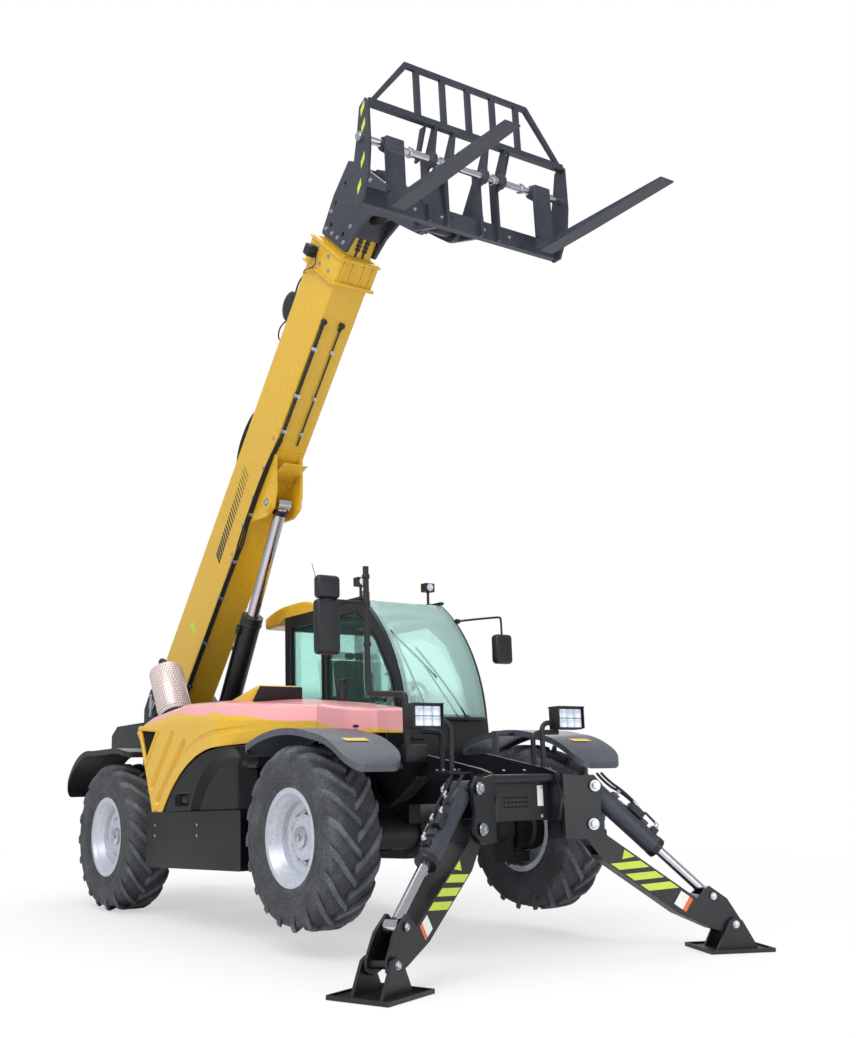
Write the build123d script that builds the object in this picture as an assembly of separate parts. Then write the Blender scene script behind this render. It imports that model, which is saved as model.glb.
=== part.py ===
from build123d import *
from math import atan2, cos, degrees, hypot, radians, sin
import os

os.makedirs("parts", exist_ok=True)

# Telescopic handler with a rear-pivoted boom, a cab on the left, an engine bay on the right
# and two folding stabilisers in front. It is modelled level, in millimetres, with X forward,
# Y left, Z up and its origin on the tyre-bottom plane under the front axle. The last step
# stands it as it parks: nose up on its rear wheels and its two stabiliser feet.

# ---- driving dimensions -------------------------------------------------------------------
wheelbase = 3100
tyre_radius = 610
tyre_width = 400
tyre_centre_y = 1000
rim_radius = 300
flange_radius = 328
kingpin_y = 795
yoke_gap = 171
disc_inner_y = 20
nose_up_deg = 2.84
fit_gap = 0.3

plate = 30
rail_y = 265
ear_y = 285
tower_y = 195
deck_z = 1090
belly_z = 450
hitch_x = -4425
hitch_bore = 20
hitch_jaws = (700, 728, 812, 840)

boom_pivot = (-4150, 1820)
boom_deg = 48.88
boom_length = 4835
boom_width = 346
boom_height = 546
boom_wall = 12
stage_gap = 12
stage_wall = 10
collar_length = 235
boom_tail = 250
stage_stroke = 3650
lift_eye = (2580, -475)
lift_base = (-3606, 900)
lift_barrel_length = 1880
lift_eye_radius = 58
pivot_pins = ((boom_pivot, 55), (lift_base, 42))  # place, radius

carriage_pivot = (5467, -1187)
shaft_place = (713, 5458)
fork_rise_deg = 1.74
carriage_half = 946
fork_y = 700
fork_length = 1280
fork_width = 125

leg_pivot = (1080, 518, 636)
leg_splay_deg = 22
leg_drop_deg = 35.1
leg_length = 1207
leg_half = 78
leg_pin_rise = (24, 251)
leg_eye = (985, 75)
leg_barrel_length = 640
leg_barrel_radius = 70

cab_y = (280, 1125)
cab_rear = -2550
cab_floor = 1100
cab_roof_z = 2500
door_hinge = (-2322, 1143)
door_hinge_z = (1350, 2180)
hood_y = (-1120, -290)
hood_x = (-2740, -340)
nose_x = 150
hood_hinge = (-281, 1745)
hood_wall = 14
hood_grooves = ((0, 330), (110, 420), (220, 520))  # place down the flank, length
tank_y = (430, 1090)
fender_y = (745, 1205)
skirt_y = (-1130, -440)
bay_rear = -2376


# ---- shape helpers ------------------------------------------------------------------------
def block(x, y, z):
    """Box between (low, high) pairs."""
    middle = Pos((x[0] + x[1]) / 2, (y[0] + y[1]) / 2, (z[0] + z[1]) / 2)
    return middle * Box(x[1] - x[0], y[1] - y[0], z[1] - z[0])


def slab(points, y, radius=0):
    """Plate with an (x, z) outline, between two Y values, its corners rounded."""
    face = make_face(Polyline(*[(px, y[0], pz) for px, pz in points], close=True))
    body = extrude(face, amount=y[1] - y[0], dir=(0, 1, 0))
    return fillet(body.edges().filter_by(Axis.Y), radius) if radius else body


def outline(points):
    """Closed (x, z) outline at Y zero; a point of ("arc", x, z) is passed by an arc to the next."""
    edges = []
    last = points[0]
    through = None
    for point in points[1:] + points[:1]:
        if point[0] == "arc":
            through = point[1:]
            continue
        start, end = (last[0], 0, last[1]), (point[0], 0, point[1])
        if through:
            edges.append(ThreePointArc(start, (through[0], 0, through[1]), end))
        else:
            edges.append(Line(start, end))
        last = point
        through = None
    return make_face(edges)


def shape_slab(points, y):
    """Plate with an outline of lines and arcs, between two Y values."""
    return extrude(Pos(0, y[0], 0) * outline(points), amount=y[1] - y[0], dir=(0, 1, 0))


def cross(points, x, radius=0):
    """Plate with a (y, z) outline, between two X values, its corners rounded."""
    face = make_face(Polyline(*[(x[0], py, pz) for py, pz in points], close=True))
    body = extrude(face, amount=x[1] - x[0], dir=(1, 0, 0))
    return fillet(body.edges().filter_by(Axis.X), radius) if radius else body


def bar(start, end, radius, bore=0):
    """Round bar or tube between two points."""
    axis = Vector(*end) - Vector(*start)
    plane = Plane(origin=start, z_dir=axis)
    solid = extrude(plane * Circle(radius), amount=axis.length)
    return solid - extrude(plane * Circle(bore), amount=axis.length) if bore else solid


def disc(x, z, radius, y, bore=0):
    """Round bar across the machine at (x, z), between two Y values."""
    return bar((x, y[0], z), (x, y[1], z), radius, bore)


def pipe(points, bend, radius):
    """Round tube bent along a path."""
    path = FilletPolyline(*points, radius=bend)
    return sweep(Plane(origin=path @ 0, z_dir=path % 0) * Circle(radius), path=path)


def box_tube(x, width, height, wall, radius=22):
    """Rectangular tube along X."""
    outer = Plane(origin=(x[0], 0, 0), x_dir=(0, 1, 0), z_dir=(1, 0, 0))
    skin = extrude(outer * RectangleRounded(width, height, radius), amount=x[1] - x[0])
    core = outer * RectangleRounded(width - 2 * wall, height - 2 * wall, radius - wall / 2)
    return skin - extrude(core, amount=x[1] - x[0])


def ring(profile, y=0):
    """Solid of revolution about the Y axis from (radius, y) points."""
    face = make_face(Polyline(*[(r, py + y, 0) for r, py in profile], close=True))
    return revolve(face, axis=Axis.Y)


def other_side(shape):
    return mirror(shape, about=Plane.XZ)


def both(shape):
    return [shape, other_side(shape)]


def fuse(parts):
    whole = parts[0]
    for piece in parts[1:]:
        whole = whole + piece
    return whole


nodes = {}


def keep(name, *shapes):
    """Files a node made of one or more separate solids."""
    nodes[name] = [solid for shape in shapes for solid in shape.solids()]


# ---- frames -------------------------------------------------------------------------------
def frame_xz(x, z, angle, y=0):
    """Location at (x, y, z) whose X axis rises by angle degrees."""
    rise = radians(angle)
    return Plane(
        origin=(x, y, z), x_dir=(cos(rise), 0, sin(rise)), z_dir=(-sin(rise), 0, cos(rise))
    ).location


boom_frame = frame_xz(*boom_pivot, boom_deg)
carriage_frame = frame_xz(*shaft_place, fork_rise_deg)
stand = Pos(-wheelbase, 0, tyre_radius) * Rot(0, -nose_up_deg, 0) * Pos(wheelbase, 0, -tyre_radius)
splay = radians(leg_splay_deg)
clevis_frame = Plane(
    origin=leg_pivot, x_dir=(sin(splay), cos(splay), 0), z_dir=(0, 0, 1)
).location
leg_frame = clevis_frame * Rot(0, leg_drop_deg, 0)


def boom_point(along, across):
    spot = (boom_frame * Pos(along, 0, across)).position
    return (spot.X, spot.Z)


# ---- wheels, knuckles and axles -----------------------------------------------------------
def tyre():
    half = tyre_width / 2
    outline = [
        (rim_radius, -half + 50), (flange_radius + fit_gap, -half + 50),
        (flange_radius + fit_gap, -half + 26), (360, -half + 10), (430, -half), (540, -half + 6),
        (tyre_radius - 14, -half + 18), (tyre_radius, -half + 45),
    ]
    return ring(outline + [(r, -y) for r, y in reversed(outline)])


def rim():
    """Deep-dish wheel, its disc set inboard of the outer flange (+Y)."""
    barrel = rim_radius - fit_gap
    profile = [
        (flange_radius, 150.3), (flange_radius, 172), (barrel - 8, 172), (barrel - 22, 150),
        (barrel - 40, 128), (barrel - 62, 90), (barrel - 70, 52), (245 - 60, 34), (150, 34),
        (150, 62), (118, 74), (0, 80), (0, disc_inner_y), (200, disc_inner_y), (barrel - 60, 24),
        (barrel - 40, 0), (barrel - 12, -40), (barrel - 12, -172), (flange_radius, -172),
        (flange_radius, -150.3), (barrel, -150.3), (barrel, 150.3),
    ]
    body = ring(profile)
    for turn in range(10):
        body = body - Rot(0, 36 * turn, 0) * disc(128, 0, 11, (disc_inner_y - 10, disc_inner_y + 10))
    return body


def knuckle():
    """Steered hub carrier: kingpin arms, hub drum and steering arm, for the +Y side."""
    seat = tyre_centre_y + disc_inner_y - kingpin_y - fit_gap
    hub = ring([(0, 40), (150, 40), (168, 60), (168, 150), (140, 175), (120, seat), (0, seat)])
    arms = block((-70, 70), (-40, 60), (-150, 150))
    arm = block((-215, -60), (-24, 14), (-95, -65))
    pins = [bar((0, 0, s * 150), (0, 0, s * (yoke_gap - fit_gap)), 48) for s in (-1, 1)]
    return fuse([hub, arms, arm] + pins)


def axle():
    """Beam axle along Y, its centre at the origin."""
    centre = ring([(0, -190), (150, -190), (205, -90), (205, 90), (150, 190), (0, 190)])
    nose = bar((150, 0, 10), (330, 0, 10), 85)
    trumpet = ring([(0, 150), (118, 180), (100, 560), (112, 690), (0, 690)])
    yoke = block((-75, 75), (640, 700), (-250, 250))
    arms = [
        block((-70, 70), (690, 860), tuple(sorted((s * yoke_gap, s * (yoke_gap + 80))))) for s in (-1, 1)
    ]
    arms = [arm & bar((0, kingpin_y - 30, -300), (0, kingpin_y - 30, 300), 115) for arm in arms]
    side = fuse([trumpet, yoke] + arms)
    pads = [block((-150, 150), s, (180, 190)) for s in ((195, 295), (-295, -195))]
    saddle = [block((-150, 150), s, (60, 190)) for s in ((195, 295), (-295, -195))]
    steer = bar((-165, -250, -80), (-165, 250, -80), 48)
    lugs = [block((-180, -60), s, (-120, -40)) for s in ((-160, -120), (120, 160))]
    return fuse([centre, nose, side, other_side(side), steer] + lugs + pads + saddle)


wheel_places = {
    "front_left": (0, 1), "front_right": (0, -1),
    "rear_left": (-wheelbase, 1), "rear_right": (-wheelbase, -1),
}
for place, (x, side) in wheel_places.items():
    centre = Pos(x, 0, tyre_radius)
    for node, shape, y in (
        ("tyre", tyre(), tyre_centre_y),
        ("rim", rim(), tyre_centre_y),
        ("knuckle", knuckle(), kingpin_y),
    ):
        turned = Pos(0, y, 0) * shape
        keep(f"{node}_{place}", centre * (turned if side > 0 else other_side(turned)))
keep("front_axle", Pos(0, 0, tyre_radius) * axle())
keep("rear_axle", Pos(-wheelbase, 0, tyre_radius) * Rot(0, 0, 180) * axle())


# ---- chassis ------------------------------------------------------------------------------
def chassis():
    axle_top = tyre_radius + 190
    rail = [
        (-4300, 640), (-3500, 640), (-3400, axle_top), (-2800, axle_top), (-2560, belly_z),
        (-740, belly_z), (-440, axle_top), (500, axle_top), (640, 670), (1080, 670),
        (1115, 820), (1060, 985), (960, 1015), (330, deck_z + 50), (0, deck_z + 50), (-120, deck_z),
        (-2900, deck_z), (-3300, 1300),
        (-4300, 1300),
    ]
    rails = both(slab(rail, (rail_y, rail_y + plate), 12))
    tower = [
        (-4420, 640), (-3450, 640), (-3380, 1300), (-3560, 1620), (-3990, 1960), (-4250, 1990),
        (-4400, 1800),
    ]
    cheeks = both(slab(tower, (tower_y, rail_y), 30))
    bosses = both(disc(*boom_pivot, 120, (tower_y - 15, rail_y + 22)))
    links = both(disc(*lift_base, 85, (tower_y - 60, tower_y)))
    floor = block((-2300, -900), (-rail_y, rail_y), (belly_z, belly_z + 20))
    ties = [disc(x, z, r, (-rail_y, rail_y)) for x, z, r in (
        (-800, 640, 60), (-2480, 560, 60), (420, 900, 50), (-4230, 760, 80))]
    tail = block((-4360, -4300), (-rail_y, rail_y), (660, 1280))
    jaw = fuse([block((-4470, -4350), (-75, 75), z) for z in (hitch_jaws[:2], hitch_jaws[2:])])
    jaw = jaw - bar((hitch_x, 0, 600), (hitch_x, 0, 900), hitch_bore)
    cab_arms = [
        block((x, x + 90), (rail_y + 5, cab_y[1] - 60), (cab_floor - 95, cab_floor - fit_gap))
        for x in (-2480, -900)
    ]
    for x in (-2000, -1250):
        cab_arms.append(block((x, x + 80), (rail_y + 5, tank_y[0] - fit_gap), (620, 700)))
        cab_arms.append(block((x, x + 80), (skirt_y[1] + fit_gap, -rail_y - 5), (620, 700)))
    body = fuse(rails + cheeks + bosses + links + [floor] + ties + [tail, jaw] + cab_arms)
    for place, radius in pivot_pins:
        body = body - disc(*place, radius + fit_gap, (-rail_y - 60, rail_y + 60))
    return body


keep("chassis_frame", chassis())
keep("pivot_pins", *[disc(*place, radius, (-rail_y - plate - 8, rail_y + plate + 8)) for place, radius in pivot_pins])


def stabiliser_beam():
    """Front cross structure between the rails: leg clevises, tow tube and grille plate."""
    inner = ear_y - 20 - fit_gap
    outer = rail_y + plate + fit_gap
    clevis = [
        (-245, -85), (-60, -95), (0, -80), (70, -35), (80, 20), (62, 90), (78, 200), (80, 262),
        (24, 325), (-60, 318), (-245, 345),
    ]
    plates = [slab(clevis, (s * 97 - 12, s * 97 + 12), 20) for s in (-1, 1)]
    pins = [disc(0, 0, 32, (-120, 120)), disc(*leg_pin_rise, 30, (-120, 120))]
    back = block((-250, -215), (-85, 85), (-85, 345))
    side = clevis_frame * fuse(plates + pins + [back])
    shelf = block((640, 930), (outer, 520), (985, 1000))
    post = block((820, 900), (outer, 420), (700, 985))
    side = fuse([side, shelf, post])
    side = side - block((-2000, 3000), (-outer, outer), (0, 3000))
    panel = block((975, 987), (-inner, inner), (675, 940))
    for row in range(3):
        for column in range(7):
            panel = panel - block(
                (970, 990), (column * 32 - 130, column * 32 - 108), (760 + row * 30, 768 + row * 30)
            )
    tube = disc(1020, 945, 30, (-inner, inner))
    web = block((930, 975), (-inner, inner), (675, 700))
    brace = block((930, 1020), (-inner, inner), (925, 940))
    return [side, other_side(side), fuse([panel, tube, web, brace])]


keep("stabiliser_beam", *stabiliser_beam())


# ---- stabilisers --------------------------------------------------------------------------
def leg():
    """Box leg along +X from its pivot, open at its foot end round the cylinder eye."""
    side = [
        (-72, -30), (-40, -72), (60, -110), (200, -155), (840, -155), (1100, -105),
        (leg_length + 20, -62), (leg_length + 62, 0), (leg_length + 30, 52), (1080, 118),
        (925, 118), (890, 0), (120, 0), (50, 60), (0, 72), (-50, 52),
    ]
    body = slab(side, (-leg_half, leg_half), 8)
    hollow = block((900, leg_length + 100), (-leg_half + 22, leg_half - 22), (-95, 200))
    inner = block((80, 840), (-leg_half + 12, leg_half - 12), (-140, -14))
    lug_slot = block((leg_length - 75, leg_length + 90), (-60, 60), (-200, 200))
    body = body - hollow - inner - lug_slot - disc(0, 0, 32 + fit_gap, (-90, 90))
    stubs = [disc(*leg_eye, 26, y) for y in ((-leg_half - 8, -56), (56, leg_half + 8))]
    pin = disc(leg_length, 0, 24, (-leg_half - 30, leg_half + 30))
    return fuse([body, pin] + stubs)


def leg_cylinder():
    """Barrel and rod in the clevis frame, drawn from the barrel pin to the rod eye."""
    eye = (Rot(0, leg_drop_deg, 0) * Pos(leg_eye[0], 0, leg_eye[1])).position
    run = hypot(eye.X - leg_pin_rise[0], eye.Z - leg_pin_rise[1])
    angle = degrees(atan2(eye.Z - leg_pin_rise[1], eye.X - leg_pin_rise[0]))
    line = frame_xz(*leg_pin_rise, angle)
    tube = bar((60, 0, 0), (leg_barrel_length, 0, 0), leg_barrel_radius)
    tube = tube - bar((80, 0, 0), (leg_barrel_length - 25, 0, 0), leg_barrel_radius - 12)
    tube = tube - bar((0, 0, 0), (leg_barrel_length + 5, 0, 0), 34 + fit_gap)
    lug = fuse([disc(0, 0, 52, (-60, 60)), block((0, 75), (-45, 45), (-40, 40))])
    lug = lug - disc(0, 0, 30 + fit_gap, (-90, 90))
    ports = [block((x, x + 50), (-26, 26), (58, 88)) for x in (160, 430)]
    inside = leg_barrel_length - 140
    rod = bar((inside, 0, 0), (run - 40, 0, 0), 34)
    eye_lug = disc(run, 0, 48, (-46, 46))
    piston = bar((inside - 5, 0, 0), (inside + 45, 0, 0), leg_barrel_radius - 12 - fit_gap)
    return line, fuse([tube, lug] + ports), fuse([rod, eye_lug, piston])


def foot(frame, ground):
    """Plate flat on the ground with two lugs round the leg's end pin."""
    base = ground * block((-235, 235), (-205, 205), (0, 14))
    rim_side = ground * (
        block((-235, 235), (-205, 205), (0, 26)) - block((-223, 223), (-193, 193), (0, 30)))
    lugs = []
    for s in (-1, 1):
        web = slab(
            [(-175, -200), (175, -200), (48, 26), (0, 48), (-48, 26)], (s * 100 - 11, s * 100 + 11), 10)
        lugs.append(frame * (web - disc(0, 0, 24 + fit_gap, (-150, 150))))
    below = ground * block((-600, 600), (-600, 600), (-400, 0.01))
    return fuse([base, rim_side] + lugs) - below


foot_centre = (leg_frame * Pos(leg_length, 0, 0)).position
foot_pin_height = (stand * Pos(*foot_centre)).position.Z
foot_clevis = Pos(*foot_centre) * Rot(0, 0, 90 - leg_splay_deg)
drop = Rot(0, nose_up_deg, 0) * Pos(0, 0, -foot_pin_height)
foot_ground = Pos(*foot_centre) * drop * Rot(0, 0, 90 - leg_splay_deg)
left_leg = leg_frame * leg()
cylinder_line, leg_barrel, leg_rod = leg_cylinder()
left_barrel = clevis_frame * cylinder_line * leg_barrel
left_rod = clevis_frame * cylinder_line * leg_rod
left_foot = foot(foot_clevis, foot_ground)
for name, shape in (
    ("stabiliser_leg", left_leg), ("stabiliser_foot", left_foot),
    ("leg_cylinder_barrel", left_barrel), ("leg_cylinder_rod", left_rod),
):
    keep(f"{name}_left", shape)
    keep(f"{name}_right", other_side(shape))


# ---- boom ---------------------------------------------------------------------------------
mid_width = boom_width - 2 * boom_wall - 2 * stage_gap
mid_height = boom_height - 2 * boom_wall - 2 * stage_gap
inner_width = mid_width - 2 * stage_wall - 2 * stage_gap
inner_height = mid_height - 2 * stage_wall - 2 * stage_gap
mid_start = 160
inner_start = 120


def wear_pads(x, width, height, inward):
    """Four slide pads on a tube wall, filling the stage gap but for the fit gap."""
    depth = stage_gap - fit_gap
    flat = width / 2 - 45
    tall = height / 2 - 55
    pads = []
    for s in (-1, 1):
        far = s * height / 2
        near = far - s * depth * inward
        pads.append(block(x, (-flat, flat), tuple(sorted((far, near)))))
        far = s * width / 2
        near = far - s * depth * inward
        pads.append(block(x, tuple(sorted((far, near))), (-tall, tall)))
    return pads


def outer_boom():
    front = boom_length - collar_length
    tube = box_tube((-boom_tail, front), boom_width, boom_height, boom_wall)
    collar = box_tube((front, boom_length), boom_width + 50, boom_height + 50, boom_wall + 25, 30)
    ribs = [box_tube((x, x + 16), boom_width + 84, boom_height + 84, boom_wall + 42, 40)
            for x in (front - 8, boom_length - 24)]
    hubs = [disc(0, 0, 105, y) for y in ((-boom_width / 2, -115), (115, boom_width / 2))]
    inside = (boom_width - 2 * boom_wall, boom_height - 2 * boom_wall)
    pads = wear_pads((boom_length - 180, boom_length - 40), *inside, 1)
    tail = block((-boom_tail, -boom_tail + 14), (-boom_width / 2 + 6, boom_width / 2 - 6), (-250, 250))
    body = fuse([tube, collar, tail] + ribs + hubs + pads)
    return body - disc(0, 0, pivot_pins[0][1] + fit_gap, (-300, 300))


def lift_bracket():
    """Two ears under the boom for the lift cylinder, with a cover plate over their front."""
    under = -boom_height / 2
    ear = [
        (lift_eye[0] - 330, under - fit_gap), (lift_eye[0] + 420, under - fit_gap),
        (lift_eye[0] + 130, lift_eye[1] - 45), (lift_eye[0], lift_eye[1] - 95),
        (lift_eye[0] - 110, lift_eye[1] - 50),
    ]
    ears = [slab(ear, (s * 130 - 13, s * 130 + 13), 14) for s in (-1, 1)]
    base = [block((lift_eye[0] - 330, lift_eye[0] + 420), y, (under - fit_gap - 10, under - fit_gap))
            for y in ((-155, -108), (108, 155))]
    base.append(block((lift_eye[0] + 350, lift_eye[0] + 420), (-155, 155),
                      (under - fit_gap - 10, under - fit_gap)))
    bosses = [disc(*lift_eye, 72, y) for y in ((-158, -140), (140, 158))]
    return fuse(ears + base + bosses)


def stage(x, width, height):
    return box_tube(x, width, height, stage_wall, 18)


def mid_boom():
    tube = stage((mid_start, boom_length + 10), mid_width, mid_height)
    out = wear_pads((mid_start + 30, mid_start + 200), mid_width, mid_height, -1)
    inside = (mid_width - 2 * stage_wall, mid_height - 2 * stage_wall)
    pads = wear_pads((boom_length - 170, boom_length - 30), *inside, 1)
    return fuse([tube] + out + pads)


def inner_boom():
    tube = stage((inner_start, boom_length + 420), inner_width, inner_height)
    out = wear_pads((mid_start + 30, mid_start + 200), inner_width, inner_height, -1)
    return fuse([tube] + out)


head_y = inner_width / 2 + fit_gap
head_holes = (  # along the boom, across it, radius
    (boom_length + 150, 120, 22), (boom_length + 150, -120, 22), (boom_length + 330, 170, 16),
    (boom_length + 520, 130, 16), (boom_length + 620, -120, 24), (boom_length + 600, -420, 20),
    (boom_length + 620, -760, 18),
)


def boom_head():
    """Nose of the inner boom: two side plates that reach down to the carriage pivot."""
    start = boom_length + 35
    px, pz = carriage_pivot
    side = [
        (start, -250), (start, 225), (start + 330, 250), (px + 60, 210), (px + 95, 60),
        (px + 80, -520), (px + 110, -1090), (px + 95, pz - 30), (px, pz - 105), (px - 95, pz - 30),
        (px - 110, -1080), (px - 150, -640), (px - 210, -420), (start + 200, -310),
    ]
    plates = [slab(side, y, 25) for y in ((head_y, head_y + 28), (-head_y - 28, -head_y))]
    for hole_x, hole_z, radius in head_holes:
        plates = [piece - disc(hole_x, hole_z, radius, (-300, 300)) for piece in plates]
    bosses = [disc(px, pz, 92, y) for y in ((head_y, head_y + 45), (-head_y - 45, -head_y))]
    cover = block((start + 300, px + 40), (-head_y - 10, head_y + 10), (inner_height / 2 + fit_gap, 236))
    webs = [block((px + 40, px + 60), (-head_y, head_y), (-560, -260)),
            block((px - 60, px - 40), (-head_y, head_y), (-1060, -560)),
            block((start + 150, start + 400), (-head_y, head_y), (-268, -inner_height / 2 - fit_gap))]
    pin = disc(px, pz, 38, (-250, 250))
    return fuse(plates + bosses + [cover] + webs + [pin])


keep("boom_outer", boom_frame * outer_boom())
keep("lift_bracket", boom_frame * lift_bracket())
keep("boom_middle", boom_frame * mid_boom())
keep("boom_inner", boom_frame * inner_boom())
keep("boom_head", boom_frame * boom_head())


def lift_cylinder():
    eye_x, eye_z = boom_point(*lift_eye)
    run = hypot(eye_x - lift_base[0], eye_z - lift_base[1])
    angle = degrees(atan2(eye_z - lift_base[1], eye_x - lift_base[0]))
    end = lift_barrel_length
    tube = bar((95, 0, 0), (end, 0, 0), 94) + bar((end - 90, 0, 0), (end, 0, 0), 100)
    tube = tube - bar((130, 0, 0), (end - 60, 0, 0), 82) - bar((200, 0, 0), (end + 5, 0, 0), 55 + fit_gap)
    lug = fuse([disc(0, 0, 88, (-110, 110)), block((0, 120), (-80, 80), (-70, 70))])
    barrel = fuse([tube, lug]) - disc(0, 0, pivot_pins[1][1] + fit_gap, (-200, 200))
    rod = fuse([
        bar((end - 730, 0, 0), (run - 30, 0, 0), 55),
        bar((end - 735, 0, 0), (end - 655, 0, 0), 82 - fit_gap),
        disc(run, 0, lift_eye_radius, (-62, 62)),
        bar((run - 95, 0, 0), (run - 40, 0, 0), 60),
    ])
    return frame_xz(*lift_base, angle), barrel, rod


lift_line, lift_barrel, lift_rod = lift_cylinder()
keep("lift_cylinder_barrel", lift_line * lift_barrel)
keep("lift_cylinder_rod", lift_line * lift_rod)


# ---- carriage -----------------------------------------------------------------------------
pivot_on_carriage = (carriage_frame.inverse() * boom_frame * Pos(carriage_pivot[0], 0, carriage_pivot[1])).position
top_rail = (35, 85, 232, 282)
bottom_rail = (-125, -75, -470, -330)


def carriage():
    px, pz = pivot_on_carriage.X, pivot_on_carriage.Z
    half = carriage_half
    end_plate = [(-130, -480), (-40, -480), (60, -300), (90, -100), (90, 250), (60, 290),
                 (-20, 250), (-60, 60), (-130, -200)]
    ends = [slab(end_plate, y, 12) for y in ((half - 20, half), (-half, 20 - half))]
    rails = [block((r[0], r[1]), (20 - half, half - 20), (r[2], r[3])) for r in (top_rail, bottom_rail)]
    lug = [(px - 80, pz), (px - 55, pz - 65), (px, pz - 85), (-75, -470), (-75, -330), (-100, -120),
           (-60, 60), (-140, 60), (px + 60, pz + 75), (px - 40, pz + 75)]
    lugs = [slab(lug, y, 12) for y in ((head_y + 51, head_y + 76), (-head_y - 76, -head_y - 51))]
    hooks = [slab([(-60, -60), (45, -50), (45, 60), (85, 240), (35, 240), (-60, 60)], (y - 12, y + 12))
             for y in (-330, -160, 160, 330)]
    seat = [block((-125, -45), (y - 12, y + 12), (-470, 60)) for y in (-330, -160, 160, 330)]
    body = fuse(ends + rails + lugs + hooks + seat)
    body = body - disc(0, 0, 30 + fit_gap, (-1000, 1000))
    return body - disc(px, pz, 38 + fit_gap, (-400, 400))


def fork(y):
    """L-shaped tine that hangs on the shaft and tapers to its tip."""
    shank = [(-48, 30), (-30, 50), (30, 50), (48, 30), (48, -30), (75, -90), (75, -455), (110, -470),
             (fork_length + 60, -492), (fork_length + 60, -506), (500, -520), (60, -520), (22, -490),
             (22, -90), (-48, -30)]
    body = slab(shank, (y - fork_width / 2, y + fork_width / 2), 5)
    return body - disc(0, 0, 30 + fit_gap, (y - 200, y + 200))


def load_guard():
    low = top_rail[3] + fit_gap
    x = (45, 75)
    top = 690
    frame = [(-905, low), (-590, top), (590, top), (905, low), (860, low), (565, top - 42),
             (-565, top - 42), (-860, low)]
    arch = cross(frame, x)
    bars = [block(x, (y - 22, y + 22), (low, top - 20)) for y in (-480, -240, 0, 240, 480)]
    return fuse([arch] + bars)


keep("carriage_frame", carriage_frame * carriage())
keep("fork_shaft", carriage_frame * disc(0, 0, 30, (-carriage_half - 25, carriage_half + 25)))
keep("forks", carriage_frame * fork(fork_y), carriage_frame * fork(-fork_y))
keep("load_guard", carriage_frame * load_guard())


# ---- cab ----------------------------------------------------------------------------------
windscreen_arc = ((-1270, 2490), (-880, 2060), (-700, 1480))


def cab_outline(inset=0):
    """Side outline of the cab: flat floor and rear, raked curved front."""
    top = cab_roof_z - inset
    low = cab_floor + inset
    rear = cab_rear + inset
    front = -660 - inset
    start, through, end = [(px - inset, pz - inset * 0.6) for px, pz in windscreen_arc]
    edges = [
        Line((front, 0, low), (rear, 0, low)), Line((rear, 0, low), (rear, 0, top)),
        Line((rear, 0, top), (start[0] - 60, 0, top)),
        Line((start[0] - 60, 0, top), (start[0], 0, start[1])),
        ThreePointArc((start[0], 0, start[1]), (through[0], 0, through[1]), (end[0], 0, end[1])),
        Line((end[0], 0, end[1]), (front, 0, low)),
    ]
    return make_face(edges)


def cab_frame():
    low, high = cab_y
    wall = 45
    outer = extrude(Pos(0, low, 0) * cab_outline(), amount=high - low, dir=(0, 1, 0))
    inner = extrude(Pos(0, low + wall, 0) * cab_outline(wall), amount=high - low - 2 * wall, dir=(0, 1, 0))
    shell = outer - inner
    door_gap = extrude(Pos(0, high - wall - 5, 0) * door_outline(), amount=wall + 20, dir=(0, 1, 0))
    front_gap = block((-1230, -500), (low + 75, high - 75), (1500, 2440))
    side_gaps = [
        extrude(Pos(0, low - 5, 0) * face, amount=wall + 15, dir=(0, 1, 0)) for face in window_outlines()
    ]
    rear_gap = block((cab_rear - 20, cab_rear + wall + 10), (low + 90, high - 90), (1560, 2380))
    top_gap = block((-2250, -1450), (low + 110, high - 110), (cab_roof_z - wall - 10, cab_roof_z + 20))
    for gap in [door_gap, front_gap, rear_gap, top_gap] + side_gaps:
        shell = shell - gap
    return fuse([shell] + door_hinge_pins())


def window_outlines():
    points = [(-1900, 1480), (-2440, 1480), (-2440, 2400), (-1900, 2400)]
    front = [(-1830, 1480), (-1830, 2400), (-1360, 2400), (-1060, 2130), (-860, 1800), (-780, 1480)]
    return [make_face(Polyline(*[(x, 0, z) for x, z in p], close=True)) for p in (points, front)]


def door_outline(inset=0):
    points = [(-2330 + inset, cab_floor + 60 + inset), (-2330 + inset, 2400 - inset),
              (-1400 - inset, 2400 - inset), (-1120 - inset, 2130), (-920 - inset, 1800),
              (-840 - inset, 1500), (-840 - inset, cab_floor + 60 + inset)]
    return make_face(Polyline(*[(x, 0, z) for x, z in points], close=True))


def cab_door():
    high = cab_y[1]
    leaf = extrude(Pos(0, high - 38, 0) * door_outline(8), amount=36, dir=(0, 1, 0))
    leaf = leaf - extrude(Pos(0, high - 60, 0) * door_outline(70), amount=100, dir=(0, 1, 0))
    leaves = [block((door_hinge[0], door_hinge[0] + 60), (high - 6, door_hinge[1] + 6), (z, z + 60))
              for z in door_hinge_z]
    knuckles = [bar((*door_hinge, z), (*door_hinge, z + 60), 12, 6 + fit_gap) for z in door_hinge_z]
    leaves = [piece - bar((*door_hinge, z - 5), (*door_hinge, z + 65), 9)
              for piece, z in zip(leaves, door_hinge_z)]
    return fuse([leaf] + leaves + knuckles)


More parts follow.
